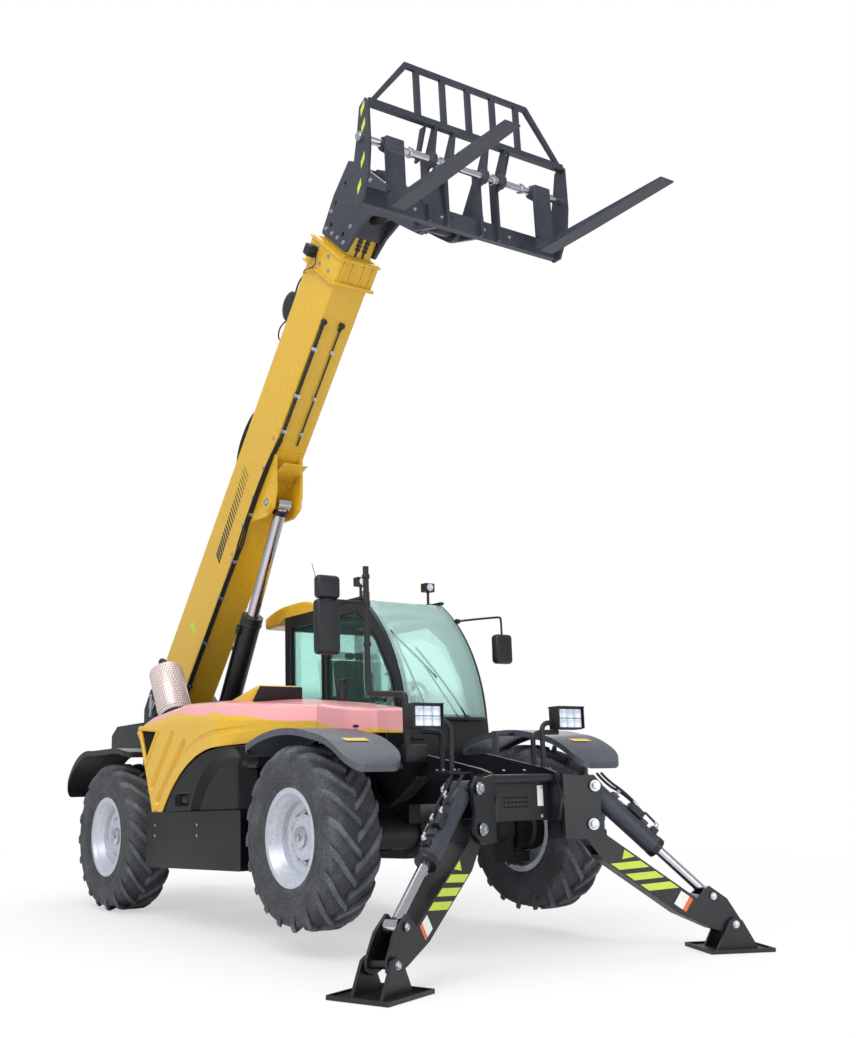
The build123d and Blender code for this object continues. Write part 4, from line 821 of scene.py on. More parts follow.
roof = bmesh.new()
box(roof, (-2.925, cab_y[0] - 0.004, 2.435), (-1.93, cab_y[1] + 0.004, 2.62), 0.03, 4)
bmesh.ops.subdivide_edges(roof, edges=[edge for edge in roof.edges if edge.calc_length() > 0.3], cuts=10,
                          use_grid_fill=True)
for vert in roof.verts:
    back = min(1.0, max(0.0, (-2.50 - vert.co.x) / 0.42))
    if vert.co.z > 2.53:
        vert.co.z -= 0.075 * back ** 2 + 0.09 * max(0.0, (vert.co.x + 2.25) / 0.3) ** 1.5
    elif vert.co.x > -2.56:
        vert.co.z = max(vert.co.z, 2.501)
    else:
        vert.co.z += 0.02 * (1 - back)
cab_cowl = piece("cab_roof_cowl", "chassis", yellow_enamel, roof, sharp=1.2)
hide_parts("cab_roof")


def bar_frame(bm, points, radius, closed=True):
    """Rubber seal or bent bar along straight runs."""
    ring = list(points) + ([points[0]] if closed else [])
    for start, end in zip(ring, ring[1:]):
        rod(bm, start, end, radius, 12, 0.0)
    for point in points:
        bmesh.ops.create_uvsphere(bm, u_segments=12, v_segments=8, radius=radius, matrix=Matrix.Translation(point))


seals = bmesh.new()
bar_frame(seals, [(-1.9, 0.276, 1.48), (-2.44, 0.276, 1.48), (-2.44, 0.276, 2.4), (-1.9, 0.276, 2.4)], 0.010)
bar_frame(seals, [(-1.83, 0.276, 1.48), (-1.83, 0.276, 2.4), (-1.36, 0.276, 2.4), (-1.06, 0.276, 2.13),
                  (-0.86, 0.276, 1.8), (-0.78, 0.276, 1.48)], 0.010)
bar_frame(seals, [(-2.26, 1.126, 1.23), (-2.26, 1.126, 2.33), (-1.47, 1.126, 2.33), (-1.19, 1.126, 2.13),
                  (-0.99, 1.126, 1.8), (-0.91, 1.126, 1.5), (-0.91, 1.126, 1.23)], 0.008)
piece("window_seals", "chassis", hose_rubber, seals)
bars = bmesh.new()
bar_frame(bars, [(-2.16, 1.165, 1.42), (-2.16, 1.165, 1.98)], 0.012, False)
bar_frame(bars, [(-2.16, 1.12, 1.42), (-2.16, 1.165, 1.42)], 0.012, False)
bar_frame(bars, [(-2.16, 1.12, 1.98), (-2.16, 1.165, 1.98)], 0.012, False)
box(bars, (-1.06, 1.123, 1.33), (-0.93, 1.15, 1.38), 0.006)
piece("door_handles", "door", black_plastic, bars)
wipers = bmesh.new()
for points, radius in (([(-0.682, 0.90, 1.47), (-0.745, 0.78, 1.72), (-0.90, 0.56, 2.06)], 0.008),
                       ([(-0.690, 0.82, 1.47), (-0.735, 0.72, 1.66), (-0.83, 0.56, 1.94)], 0.006),
                       ([(-0.760, 0.66, 1.80), (-0.86, 0.50, 2.02), (-0.96, 0.36, 2.18)], 0.009),
                       ([(-0.700, 0.50, 1.55), (-0.79, 0.42, 1.86), (-0.96, 0.36, 2.20)], 0.007)):
    hose(wipers, points, radius)
for y in (0.90, 0.50):
    rod(wipers, (-0.66, y, 1.465), (-0.70, y, 1.48), 0.022, 16, 0.004)
piece("windscreen_wipers", "chassis", black_plastic, wipers)
trim = bmesh.new()
for y in (0.35, 1.06):
    rod(trim, (-1.385, y, 2.50), (-1.385, y, 2.63), 0.012, 14)
    box(trim, (-1.42, y - 0.03, 2.505), (-1.35, y + 0.03, 2.517), 0.003)
for y in (cab_y[0] + 0.012, cab_y[1] - 0.012):
    box(trim, (-1.95, y - 0.02, 2.495), (-1.25, y + 0.02, 2.522), 0.006)
box(trim, (-0.70, cab_y[0] + 0.06, 1.455), (-0.655, cab_y[1] - 0.06, 1.478), 0.006)
box(trim, (-0.68, 0.34, 1.30), (-0.655, 0.46, 1.315), 0.003)
box(trim, (-2.56, 0.30, 1.54), (-2.548, 1.10, 1.56), 0.003)
piece("cab_trim", "chassis", black_plastic, trim)
step = bmesh.new()
for z in (0.42, 0.72):
    box(step, (-1.95, 1.09, z), (-1.55, 1.125, z + 0.03), 0.004)
    for x in (-1.93, -1.57):
        box(step, (x - 0.01, 1.085, z), (x + 0.01, 1.115, z + 0.33), 0.003)
piece("cab_steps", "chassis", black_coat, step)

# ---- driver's seat and controls -------------------------------------------------------------
# Foam seat in woven black cloth with a headrest and armrests, behind a moulded dash with a
# steering wheel, a display and a lever.
seat_y = (cab_y[0] + cab_y[1]) / 2
seat_floor = 1.145
# Woven seat cloth: matt, with threads 2 mm apart each way.
seat_cloth, tree, shader = start_finish("woven_seat_cloth", {"Roughness": 0.9, "Sheen Weight": 0.25})
place = add(tree, "TexCoord").outputs["Object"]
warp = add(tree, "TexWave", {"Vector": place, "Scale": 160.0}, bands_direction="Y")
weft = add(tree, "TexWave", {"Vector": place, "Scale": 160.0}, bands_direction="DIAGONAL")
weave = add(tree, "Math", {0: warp.outputs["Fac"], 1: weft.outputs["Fac"]}, operation="MULTIPLY")
cloth = add(tree, "Mix", {0: weave.outputs[0], 6: hex_colour("#1B1A1E"), 7: hex_colour("#4A4146")}, data_type="RGBA")
tree.links.new(cloth.outputs[2], shader.inputs["Base Color"])
relief = add(tree, "Bump", {"Height": weave.outputs[0], "Strength": 0.6, "Distance": 0.0008})
tree.links.new(relief.outputs[0], shader.inputs["Normal"])


def cushion(name, low, high, crown, lean=0.0, foot=(0, 0, 0)):
    """Crowned foam block: its top swollen and grooved twice, its bottom a little swollen."""
    bm = bmesh.new()
    box(bm, low, high, 0.035, 3)
    long_edges = [edge for edge in bm.edges if edge.calc_length() > 0.12]
    bmesh.ops.subdivide_edges(bm, edges=long_edges, cuts=5, use_grid_fill=True)
    middle = (Vector(low) + Vector(high)) / 2
    half = (Vector(high) - Vector(low)) / 2
    for vert in bm.verts:
        away = vert.co - middle
        u = Vector((away.x / half.x, away.y / half.y, away.z / half.z))
        thin = min(range(3), key=lambda i: half[i])
        wide = [i for i in range(3) if i != thin]
        swell = (1 - u[wide[0]] ** 2) * (1 - u[wide[1]] ** 2)
        vert.co[thin] += crown * swell * (1 if u[thin] > 0 else -0.3)
        groove = 0.006 if abs(abs(u[wide[1]]) - 0.55) < 0.07 and u[thin] > 0 else 0.0
        vert.co[thin] -= groove
    bmesh.ops.rotate(bm, cent=Vector(foot), matrix=Matrix.Rotation(lean, 3, "Y"), verts=bm.verts[:])
    made = piece(name, "chassis", seat_cloth, bm, Matrix(), 1, 3.0)
    soft = made.modifiers.new("soft", "SUBSURF")
    soft.levels = soft.render_levels = 1
    return made


hinge_spot = (-2.12, seat_y, seat_floor + 0.40)
seat_pad = cushion("seat_cushion", (-2.18, seat_y - 0.23, seat_floor + 0.27),
                   (-1.69, seat_y + 0.23, seat_floor + 0.365), 0.012)
back_pad = cushion("seat_back", (-2.17, seat_y - 0.22, seat_floor + 0.40), (-2.08, seat_y + 0.22, seat_floor + 0.96),
                   0.012, radians(-11), hinge_spot)
head_pad = cushion("seat_headrest", (-2.165, seat_y - 0.13, seat_floor + 0.975),
                   (-2.095, seat_y + 0.13, seat_floor + 1.04), 0.006, radians(-11), hinge_spot)
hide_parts("driver_seat")
paint_node(black_plastic, "steering_column")
controls = bmesh.new()
for sign in (1, -1):
    y = seat_y + sign * 0.29
    box(controls, (-2.12, y - 0.03, seat_floor + 0.56), (-1.82, y + 0.03, seat_floor + 0.60), 0.01)
    rod(controls, (-2.08, y, seat_floor + 0.30), (-2.08, y, seat_floor + 0.57), 0.012, 12)
rod(controls, (-1.84, seat_y - 0.29, seat_floor + 0.59), (-1.80, seat_y - 0.29, seat_floor + 0.74), 0.012, 12)
bmesh.ops.create_uvsphere(controls, u_segments=16, v_segments=10, radius=0.026,
                          matrix=Matrix.Translation((-1.80, seat_y - 0.29, seat_floor + 0.76)))
box(controls, (-0.98, 0.42, 1.55), (-0.95, 0.62, 1.68), 0.008)
piece("cab_controls", "chassis", black_plastic, controls)

# ---- engine hood and nose -------------------------------------------------------------------
# One-piece yellow hood moulded in fibre plastic, 12 mm thick: rounded crown painted salmon as a
# painted highlight, tail with a slatted triangular vent, two slanted flutes, and a raised band along its
# swept edge. It narrows in front to the fixed nose, and a scoop with a black mouth stands on its crown.
hood_outer = -1.12
hood_inner = -0.286
nose_outer = -0.738
hood_base = 0.802
hood_top = 1.772
hood_ends = (-2.74, -0.342)
flute_depth = 0.040
hood_wall = 0.012
nose_ends = (-0.334, 0.166)
crown_line = ((-2.74, 1.58), (-2.52, 1.645), (-2.0, 1.69), (-1.4, 1.665), (-0.8, 1.60), (-0.34, 1.545),
              (-0.12, 1.51), (0.17, 1.47))


def smooth(low, high, value):
    """0 below low, 1 above high, eased between."""
    share = min(1.0, max(0.0, (value - low) / (high - low)))
    return share * share * (3 - 2 * share)


def along(line, x):
    """Height of a polyline at x, eased between its points."""
    for (x0, z0), (x1, z1) in zip(line, line[1:]):
        if x <= x1:
            return z0 + (z1 - z0) * min(1.0, max(0.0, (x - x0) / (x1 - x0)))
    return line[-1][1]


(sweep_x, sweep_z), sweep_radius = arc_through((-2.083, 0.802), (-1.74, 1.105), (-1.18, 1.267))


def lower_edge(x):
    """Height of the hood's swept lower edge."""
    if x < -2.083:
        return hood_base
    if x < -1.18:
        return sweep_z + (max(0.0, sweep_radius ** 2 - (x - sweep_x) ** 2)) ** 0.5
    return along(((-1.18, 1.267), (-0.56, 1.295), (-0.34, 1.302), (0.2, 1.29)), x)


def outer_side(x):
    return hood_outer + (nose_outer - hood_outer) * smooth(-1.25, -0.36, x)


def groove(x, z, start, end, width):
    """Depth share of a flute with a soft round section between two points."""
    run = Vector(end) - Vector(start)
    share = min(1.0, max(0.0, (Vector((x, z)) - Vector(start)).dot(run) / run.length_squared))
    away = (Vector((x, z)) - Vector(start) - share * run).length
    return 1 - smooth(0.3 * width, width, away)


def hood_point(x, y, z):
    """Moves a point of the plain box skin onto the moulded hood; gives its crown share too."""
    tail, top, side = 0.12, 0.25, 0.25
    dx = max(0.0, (hood_ends[0] + tail - x) / tail)
    dy = max(0.0, (hood_outer + side - y) / side)
    dz = max(0.0, (z - hood_top + top) / top)
    size = (dx * dx + dy * dy + dz * dz) ** 0.5
    crown = dz / size if size else 1.0
    if size > 1.0:
        if dx:
            x = hood_ends[0] + tail - tail * dx / size
        if dy:
            y = hood_outer + side - side * dy / size
        if dz:
            z = hood_top - top + top * dz / size
    x += 0.36 * max(0.0, 1.6 - z) / 0.8 * (1 - smooth(-2.74, -1.9, x))
    low = lower_edge(x)
    if z < 1.46:
        z = low + (z - hood_base) * (1.46 - low) / (1.46 - hood_base)
    z += (along(crown_line, x) - hood_top) * smooth(1.3, 1.74, z) - 0.03 * crown * (1 - smooth(-0.9, -0.4, y))
    flank = dy / size if size else 0.0
    y = hood_inner + (y - hood_inner) * (outer_side(x) - hood_inner) / (hood_outer - hood_inner)
    if flank > 0.6:
        depth = flute_depth * groove(x, z, (-1.95, 1.40), (-2.32, 1.0), 0.042)
        depth += flute_depth * groove(x, z, (-1.73, 1.33), (-2.22, 0.88), 0.042)
        edge_gap = hypot(x - sweep_x, z - sweep_z) - sweep_radius if x < -1.18 else z - low
        band = (1 - smooth(0.090, 0.102, edge_gap)) * (1 - smooth(-1.1, -0.8, x))
        depth += 0.016 * (1 - smooth(0.006, 0.026, abs(edge_gap - 0.112))) * (1 - smooth(-1.1, -0.8, x))
        y += (depth - 0.009 * band) * smooth(0.6, 0.9, flank)
    return x, y, z, smooth(-0.22, -0.02, z - along(crown_line, x) + 0.03 * smooth(-1.2, -0.4, x))


def skin(bm, faces, shape, cut=None):
    """Grids of a box's sides, welded, then every point moved by shape, which keeps the crown share."""
    for corner, u, v, nu, nv in faces:
        corner, u, v = Vector(corner), Vector(u), Vector(v)
        place = Matrix(((u.x, v.x, 0, corner.x + (u.x + v.x) / 2), (u.y, v.y, 1, corner.y + (u.y + v.y) / 2),
                        (u.z, v.z, 1, corner.z + (u.z + v.z) / 2), (0, 0, 0, 1)))
        bmesh.ops.create_grid(bm, x_segments=nu, y_segments=nv, size=0.5, matrix=place)
    bmesh.ops.remove_doubles(bm, verts=bm.verts[:], dist=0.0005)
    layer = bm.verts.layers.float.new("crown")
    for vert in bm.verts:
        *spot, vert[layer] = shape(*vert.co)
        vert.co = spot
    if cut:
        gone = [face for face in bm.faces if cut(face.calc_center_median())]
        bmesh.ops.delete(bm, geom=gone, context="FACES")


# Enamelled fibre plastic: glossier than the steel, patches 0.75 m wide and a 3 mm peel.
hood_enamel = weathered("moulded_hood_enamel", "#E2B42A", "#C29A2E",
                        {"Roughness": 0.3, "Coat Weight": 0.4, "Coat Roughness": 0.1}, 1.3, 300, 0.0002, 0.25)
tree = hood_enamel.node_tree
shader = tree.nodes["Principled BSDF"]
under_coat = shader.inputs["Base Color"].links[0].from_socket
# The crown of the hood and nose is painted salmon with a wandering edge: a painted highlight.
wander = add(tree, "TexNoise", {"Vector": add(tree, "TexCoord").outputs["Object"], "Scale": 2.6, "Detail": 1.5})
share = add(tree, "Attribute", attribute_name="crown")
edge = add(tree, "Math", {0: wander.outputs["Fac"], 1: 0.9, 2: share.outputs["Fac"]}, operation="MULTIPLY_ADD")
salmon_painted_highlight = add(tree, "MapRange", {"Value": edge.outputs[0], "From Min": 0.93, "From Max": 0.96})
crown = add(tree, "Mix", {0: salmon_painted_highlight.outputs[0], 6: under_coat, 7: hex_colour("#F0A3A6")}, data_type="RGBA")
tree.links.new(crown.outputs[2], shader.inputs["Base Color"])

vent = ((-2.55, 1.49), (-2.19, 1.455), (-2.42, 1.19))


def in_vent(centre):
    signs = [(b[0] - a[0]) * (centre.z - a[1]) - (b[1] - a[1]) * (centre.x - a[0]) < 0
             for a, b in zip(vent, vent[1:] + vent[:1])]
    return all(signs) and centre.y < -1.0


length, width, height = hood_ends[1] - hood_ends[0], hood_outer - hood_inner, hood_top - hood_base
bm = bmesh.new()
skin(bm, (((hood_ends[0], hood_outer, hood_base), (length, 0, 0), (0, 0, height), 190, 72),
          ((hood_ends[0], hood_outer, hood_top), (length, 0, 0), (0, -width, 0), 190, 48),
          ((hood_ends[0], hood_outer, hood_base), (0, -width, 0), (0, 0, height), 48, 72)), hood_point, in_vent)
hood_skin = thick(piece("hood_skin", "hood", hood_enamel, bm, sharp=3.0), hood_wall)
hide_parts("engine_hood")


def nose_point(x, y, z):
    """Rounded nose in line with the hood's narrow end."""
    front, top, side = 0.16, 0.13, 0.22
    dx = max(0.0, (x - nose_ends[1] + front) / front)
    dy = max(0.0, (nose_outer + side - y) / side)
    dz = max(0.0, (z - hood_top + top) / top)
    size = (dx * dx + dy * dy + dz * dz) ** 0.5
    crown = dz / size if size else 1.0
    if size > 1.0:
        if dx:
            x = nose_ends[1] - front + front * dx / size
        if dy:
            y = nose_outer + side - side * dy / size
        if dz:
            z = hood_top - top + top * dz / size
    low = 1.295
    z = low + (z - hood_base) / (hood_top - hood_base) * (along(crown_line, x) - low)
    return x, y, z, smooth(-0.22, -0.02, z - along(crown_line, x) + 0.03)


bm = bmesh.new()
length, width = nose_ends[1] - nose_ends[0], nose_outer - hood_inner
skin(bm, (((nose_ends[0], nose_outer, hood_base), (length, 0, 0), (0, 0, height), 40, 24),
          ((nose_ends[0], nose_outer, hood_top), (length, 0, 0), (0, -width, 0), 40, 34),
          ((nose_ends[1], nose_outer, hood_base), (0, -width, 0), (0, 0, height), 34, 24)), nose_point)
nose_skin = thick(piece("nose_skin", "chassis", hood_enamel, bm, sharp=3.0), hood_wall)
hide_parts("hood_nose")
under_nose = bmesh.new()
box(under_nose, (nose_ends[0] + 0.01, nose_outer + 0.03, 1.335), (nose_ends[1] - 0.05, hood_inner - 0.01, 1.352), 0.003)
piece("nose_underside", "chassis", black_plastic, under_nose)

rim = bmesh.new()
for (x0, z0), (x1, z1) in zip(vent, vent[1:] + vent[:1]):
    rod(rim, (x0, hood_outer + 0.004, z0), (x1, hood_outer + 0.004, z1), 0.019, 14)
for x0, z0 in vent:
    bmesh.ops.create_uvsphere(rim, u_segments=16, v_segments=10, radius=0.0192,
                              matrix=Matrix.Translation((x0, hood_outer + 0.004, z0)))
piece("hood_vent_rim", "hood", yellow_enamel, rim)
slats = bmesh.new()
# The black back plate behind the slats is painted shade for the hood's dark inside.
plate(slats, [(x, hood_outer + 0.05, z) for x, z in vent], (0, 0.004, 0))
for step in range(8):
    x = -2.52 + 0.042 * step
    low = 1.19 + (x + 2.42) * (-0.30 / 0.13 if x < -2.42 else 0.265 / 0.23)
    high = 1.49 - 0.035 * (x + 2.55) / 0.36
    box(slats, (x - 0.004, hood_outer + 0.012, max(low, 1.19)), (x + 0.004, hood_outer + 0.048, high), 0.001)
piece("hood_vent_slats", "hood", black_plastic, slats)

intake = bmesh.new()
box(intake, (-1.78, -0.86, 1.50), (-1.07, -0.36, 1.735), 0.05, 5)
for vert in intake.verts:
    rise = vert.co.z - 1.50
    ahead = smooth(-1.3, -1.07, vert.co.x)
    vert.co.z -= rise * (1 - smooth(-1.8, -1.3, vert.co.x)) * 0.55
    vert.co.x -= 0.12 * (1 - rise / 0.235) * ahead
    vert.co.y += 0.045 * rise / 0.235 * (1 if vert.co.y < -0.61 else -1)
piece("hood_scoop", "hood", yellow_enamel, intake)
mouth = bmesh.new()
# The black plate across the scoop's mouth, behind its slats, is painted shade for the dark inside of the intake.
plate(mouth, [(-1.1355, -0.832, 1.60), (-1.0735, -0.798, 1.722), (-1.0735, -0.422, 1.722), (-1.1355, -0.388, 1.60)],
      (0.006, 0, 0.0), 0.003)
for step in range(4):
    z = 1.618 + 0.028 * step
    x = -1.1275 + 0.0143 * step
    box(mouth, (x, -0.82 + 0.008 * step, z), (x + 0.008, -0.40 - 0.008 * step, z + 0.006), 0.001)
piece("hood_scoop_mouth", "hood", black_plastic, mouth)
for x in (-2.32, -0.67):
    arm = bmesh.new()
    rod(arm, (x - 0.03, -0.281, 1.745), (x + 0.03, -0.281, 1.745), 0.014, 20, 0.002)
    box(arm, (x - 0.02, -0.34, 1.56), (x + 0.02, -0.276, 1.748), 0.006)
    piece("hood_hinge_arm_rear" if x < -1 else "hood_hinge_arm_front", "hood", black_coat, arm)

# ---- engine bay and side panel --------------------------------------------------------------
# Folded black sheet wall along the boom channel with the hood's hinge posts, a floor tray, and a
# satin moulded side panel under the hood's sweep with a pressed arc and a recessed latch.
# Moulded black panel: even satin, patches 0.55 m wide and a 3 mm peel.
panel_black = weathered("gloss_black_panel", "#090B0E", "#1B1E23",
                        {"Roughness": 0.32, "Specular IOR Level": 0.22}, 1.8, 300, 0.0002)
inner_wall = bmesh.new()
edge_points = [(x, -0.286, along(crown_line, x) - 0.025) for x in (-2.68, -2.3, -2.0, -1.4, -0.8, -0.34, -0.13)]
plate(inner_wall, [(-2.68, -0.286, 1.10)] + edge_points + [(-0.13, -0.286, 1.10)], (0, 0.008, 0))
box(inner_wall, (-2.33, -1.055, 1.095), (-0.66, -0.28, 1.12), 0.004)
for x in (-2.38, -0.73):
    box(inner_wall, (x, -0.288, 1.50), (x + 0.025, -0.274, 1.75), 0.003)
    rod(inner_wall, (x, -0.281, 1.745), (x + 0.11, -0.281, 1.745), 0.007, 16)
bay_wall = piece("engine_bay_wall", "chassis", black_coat, inner_wall)
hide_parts("engine_bay")


def panel_point(x, y, z):
    """Side panel under the swept edge, pressed out along an arc and in at its latch."""
    share = (z - 0.80) / 0.5
    top = min(lower_edge(x) - 0.012 if x > -2.07 else 0.82, 1.262)
    z = 0.80 + share * (max(top, 0.815) - 0.80)
    arc_gap = hypot(x + 0.95, z - 0.55) - 0.66
    bulge = 0.018 * smooth(0.0, 0.03, arc_gap)
    bulge -= 0.016 * smooth(-0.10, -0.03, arc_gap) * (1 - smooth(-0.03, 0.0, arc_gap))
    pocket = smooth(-1.86, -1.83, x) * (1 - smooth(-1.65, -1.62, x))
    pocket *= smooth(0.84, 0.86, z) * (1 - smooth(0.92, 0.94, z))
    round_front = 0.10 * smooth(-0.88, -0.745, x) ** 2
    return x, y - bulge + 0.035 * pocket + round_front, z, 0.0


side_panel = bmesh.new()
skin(side_panel, (((-2.06, -1.100, 0.80), (1.315, 0, 0), (0, 0, 0.5), 120, 48),), panel_point)
thick(piece("side_panel", "chassis", panel_black, side_panel, sharp=3.0), 0.01)
paint_node(panel_black, "skirt_right")
paint_node(black_coat, "tank_left", "rear_fenders", "engine_block")
latch = bmesh.new()
box(latch, (-1.79, hood_outer + 0.024, 0.868), (-1.69, hood_outer + 0.052, 0.912), 0.008)
rod(latch, (-1.74, hood_outer + 0.02, 0.89), (-1.74, hood_outer + 0.03, 0.89), 0.014, 16, 0.002)
piece("side_panel_latch", "chassis", black_plastic, latch)
skirt_bolts = bmesh.new()
for x in (-2.2, -1.45):
    for z in (0.62, 0.70):
        hex_nut(skirt_bolts, (x, -1.13, z), (0, -1, 0), 0.016, 0.008)
piece("skirt_bolts", "chassis", bright_zinc, skirt_bolts)

# ---- fenders --------------------------------------------------------------------------------
# Front guards moulded in grey plastic, each with a blank label and bolts on its inner flank; the
# rear guards are plain black sheet.

# Moulded grey polyethylene: satin, patches 0.4 m wide and a 1 mm grain.
fender_plastic = weathered("grey_moulded_plastic", "#474B54", "#6C7079", {"Roughness": 0.34}, 2.4, 900, 0.0004)
# Amber vinyl: smooth and slightly faded.
amber_vinyl = weathered("amber_vinyl_label", "#E8C65A", "#CFAF55", {"Roughness": 0.4}, 5, 900, 0.00005)
paint_node(fender_plastic, "front_fenders")
for side, sign in sides:
    label = bmesh.new()
    plate(label, [(0.46, 0.90, 1.2575), (0.58, 0.90, 1.2165), (0.58, 1.08, 1.2165), (0.46, 1.08, 1.2575)],
          (0, 0, 0.001))
    piece(f"fender_label_{side}", "chassis", amber_vinyl, label, Matrix(), sign)
    screws = bmesh.new()
    for x, z in ((-0.3, 1.25), (0.1, 1.27), (0.4, 1.22)):
        hex_nut(screws, (x, 0.745, z), (0, -1, 0), 0.014, 0.008)
    piece(f"fender_screws_{side}", "chassis", bright_zinc, screws, Matrix(), sign)

# ---- exhaust ---------------------------------------------------------------------------------
# Stainless heat shield rolled into a can and pierced all over with staggered 9 mm holes, round a
# black silencer, with a bent tail pipe on top.
shield_metal, tree, shader = start_finish("pierced_heat_shield", {"Roughness": 0.35, "Metallic": 0.3})
flat = add(tree, "SeparateXYZ", {0: add(tree, "UVMap").outputs[0]})
row = add(tree, "Math", {0: flat.outputs["Y"], 1: 1 / 0.024}, operation="MULTIPLY")
stagger = add(tree, "Math", {0: add(tree, "Math", {0: row.outputs[0]}, operation="FLOOR").outputs[0], 1: 0.5},
              operation="MULTIPLY")
column = add(tree, "Math", {0: flat.outputs["X"], 1: 1 / 0.024, 2: stagger.outputs[0]}, operation="MULTIPLY_ADD")
near = [add(tree, "Math", {0: add(tree, "Math", {0: line.outputs[0]}, operation="FRACT").outputs[0], 1: 0.5},
            operation="SUBTRACT") for line in (row, column)]
reach = add(tree, "VectorMath", {0: add(tree, "CombineXYZ", {0: near[0].outputs[0], 1: near[1].outputs[0]}).outputs[0]},
            operation="LENGTH")
hole = add(tree, "Math", {0: reach.outputs["Value"], 1: 0.2}, operation="LESS_THAN")
steel = add(tree, "Mix", {0: hole.outputs[0], 6: hex_colour("#EBDAD6"), 7: hex_colour("#3A2A2C")}, data_type="RGBA")
tree.links.new(steel.outputs[2], shader.inputs["Base Color"])
shield_frame = Matrix.Translation((-2.98, -0.58, 1.58)) @ Matrix.Rotation(-radians(118), 4, "Y")
can = bmesh.new()
turn_to_x = Matrix.Rotation(radians(90), 4, "Y")
turned(can, [(0.1295, 0.079), (0.1515, 0.119), (0.1515, 0.52), (0.140, 0.55), (0.085, 0.575), (0.083, 0.57),
             (0.139, 0.545), (0.150, 0.519), (0.150, 0.119), (0.1285, 0.079)], turn_to_x, 64)
wrap = can.loops.layers.uv.new("wrap")
for face in can.faces:
    turns = [atan2(loop.vert.co.y, loop.vert.co.z) for loop in face.loops]
    for loop, turn in zip(face.loops, turns):
        turn += 2 * pi if max(turns) - turn > pi else 0.0
        loop[wrap].uv = (turn * 0.15, loop.vert.co.x)
shield = piece("exhaust_shield", "chassis", shield_metal, can, shield_frame)
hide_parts("muffler")
silencer = bmesh.new()
rod(silencer, (0.06, 0, 0), (0.555, 0, 0), 0.118, 40, 0.02)
rod(silencer, (-0.10, 0, 0), (0.08, 0, 0), 0.05, 28)
hose(silencer, [(0.54, 0.0, 0), (0.62, 0.0, 0), (0.66, 0.0, 0.02), (0.67, 0.02, 0.07), (0.66, 0.05, 0.13)], 0.034, 6)
piece("exhaust_silencer", "chassis", grimy_black, silencer, shield_frame)

# ---- lamps, mirrors and beacon ---------------------------------------------------------------
# Square LED work lamps on bent posts with six clear cells under a visor, rounded mirror heads
# on black arms, halogen roof lamps, an orange beacon and a whip aerial.
lamp_lens, tree, shader = start_finish("clear_lamp_lens", {
    "Roughness": 0.12, "Emission Color": hex_colour("#E8F2FF"), "Emission Strength": 0.25, "Coat Weight": 0.6})
cells = add(tree, "TexVoronoi", {"Vector": add(tree, "TexCoord").outputs["Object"], "Scale": 16.0, "Randomness": 0.2})
bright = add(tree, "MapRange", {"Value": cells.outputs["Distance"], "From Min": 0.0, "From Max": 0.6})
glow = add(tree, "Mix", {0: bright.outputs[0], 6: hex_colour("#FFFFFF"), 7: hex_colour("#9DA8B8")}, data_type="RGBA")
tree.links.new(glow.outputs[2], shader.inputs["Base Color"])
mirror_glass = weathered("silvered_mirror", "#D8DEE2", "#C0C6CC", {"Roughness": 0.03, "Metallic": 1.0}, 2, 100, 0.00001)
paint_node(black_plastic, "front_work_lights", "roof_lights")
for side, sign in sides:
    visor = bmesh.new()
    box(visor, (0.755, 0.503, 1.4355), (0.875, 0.747, 1.445), 0.003)
    for y in (0.503, 0.741):
        box(visor, (0.765, y, 1.29), (0.868, y + 0.006, 1.44), 0.002)
    for z in (1.30, 1.335, 1.37, 1.405):
        box(visor, (0.745, 0.53, z), (0.7605, 0.72, z + 0.012), 0.002)
    piece(f"work_light_visor_{side}", "chassis", black_plastic, visor, Matrix(), sign)
    lens = bmesh.new()
    for row_step in range(2):
        for column_step in range(3):
            y = 0.524 + 0.068 * column_step
            z = 1.297 + 0.066 * row_step
            box(lens, (0.8495, y, z), (0.860, y + 0.064, z + 0.062), 0.004)
    piece(f"work_light_cells_{side}", "chassis", lamp_lens, lens, Matrix(), sign)
def mirror_head(bm, low, high):
    """Moulded mirror back: rounded all round and fuller in its middle."""
    box(bm, low, high, 0.03, 4)
    middle, half = (Vector(low) + Vector(high)) / 2, (Vector(high) - Vector(low)) / 2
    for vert in bm.verts:
        spot = vert.co - middle
        if abs(spot.x) <= half.x + 0.001 and abs(spot.y) <= half.y + 0.001 and abs(spot.z) <= half.z + 0.001:
            vert.co.y = middle.y + spot.y * (1 - 0.10 * (spot.z / half.z) ** 2)


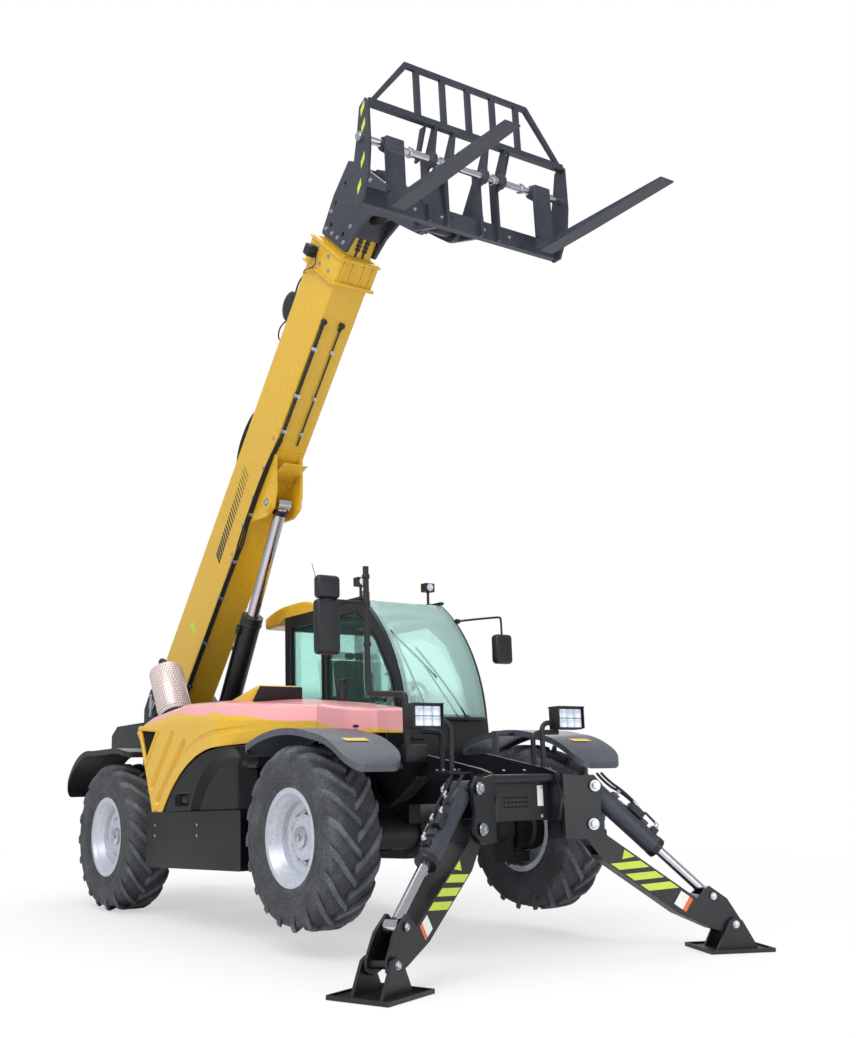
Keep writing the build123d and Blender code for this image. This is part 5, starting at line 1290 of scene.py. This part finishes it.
heads = bmesh.new()
mirror_head(heads, (-0.130, -0.905, 1.855), (-0.045, -0.695, 2.25))
mirror_head(heads, (-0.125, -0.895, 2.254), (-0.045, -0.695, 2.425))
mirror_head(heads, (-0.785, 1.255, 1.935), (-0.700, 1.445, 2.185))
hose(heads, [(0.36, -0.45, 1.15), (0.36, -0.45, 1.40), (0.36, -0.45, 1.53), (0.34, -0.45, 1.548), (0.20, -0.45, 1.562),
             (0.0, -0.45, 1.58), (-0.08, -0.45, 1.588), (-0.10, -0.45, 1.61), (-0.10, -0.45, 1.75),
             (-0.10, -0.45, 2.2), (-0.10, -0.45, 2.52)], 0.022, 5)
box(heads, (0.32, -0.48, 1.08), (0.40, -0.2955, 1.20), 0.008)
rod(heads, (-0.10, -0.45, 2.25), (-0.085, -0.75, 2.25), 0.010, 14)
for low, high in ((2.235, 2.265), (1.93, 1.96), (2.43, 2.46)):
    rod(heads, (-0.10, -0.45, low), (-0.10, -0.45, high), 0.029, 20, 0.003)
rod(heads, (-1.08, 1.126, 2.33), (-1.08, 1.16, 2.33), 0.022, 18, 0.003)
hose(heads, [(-1.08, 1.14, 2.33), (-0.95, 1.22, 2.335), (-0.80, 1.31, 2.335), (-0.745, 1.345, 2.335),
             (-0.74, 1.35, 2.31), (-0.74, 1.35, 2.16)], 0.0095, 4)
mirror_set = piece("mirror_set", "chassis", black_plastic, heads)
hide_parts("mirrors")
faces = bmesh.new()
box(faces, (-0.1325, -0.880, 1.885), (-0.1285, -0.720, 2.22), 0.001)
box(faces, (-0.1275, -0.868, 2.28), (-0.1235, -0.722, 2.40), 0.001)
box(faces, (-0.7875, 1.275, 1.965), (-0.7835, 1.425, 2.155), 0.001)
piece("mirror_faces", "chassis", mirror_glass, faces)
roof_lens = bmesh.new()
for y in (0.35, 1.06):
    rod(roof_lens, (-1.3505, y, 2.663), (-1.344, y, 2.663), 0.033, 24, 0.003)
piece("roof_light_lenses", "chassis", lamp_lens, roof_lens)
orange_lens, tree, shader = start_finish("orange_beacon_lens", {"Roughness": 0.12, "Transmission Weight": 0.4})
flutes = add(tree, "TexWave", {"Vector": add(tree, "TexCoord").outputs["Object"], "Scale": 30.0}, bands_direction="Z")
amber = add(tree, "Mix", {0: flutes.outputs["Fac"], 6: hex_colour("#E07A16"), 7: hex_colour("#F6A53A")},
            data_type="RGBA")
tree.links.new(amber.outputs[2], shader.inputs["Base Color"])
beacon = bmesh.new()
turned(beacon, [(0.0, 2.77), (0.03, 2.768), (0.046, 2.755), (0.0475, 2.66), (0.045, 2.655), (0.0, 2.655)],
       Matrix.Translation((-2.3, 1.0, 0)), 32)
piece("beacon_lens", "chassis", orange_lens, beacon)
aerial = bmesh.new()
rod(aerial, (-2.1, 0.4, 2.60), (-2.1, 0.4, 2.64), 0.018, 16, 0.004)
rod(aerial, (-2.1, 0.4, 2.63), (-2.26, 0.4, 2.97), 0.003, 8)
piece("roof_aerial", "chassis", black_plastic, aerial)
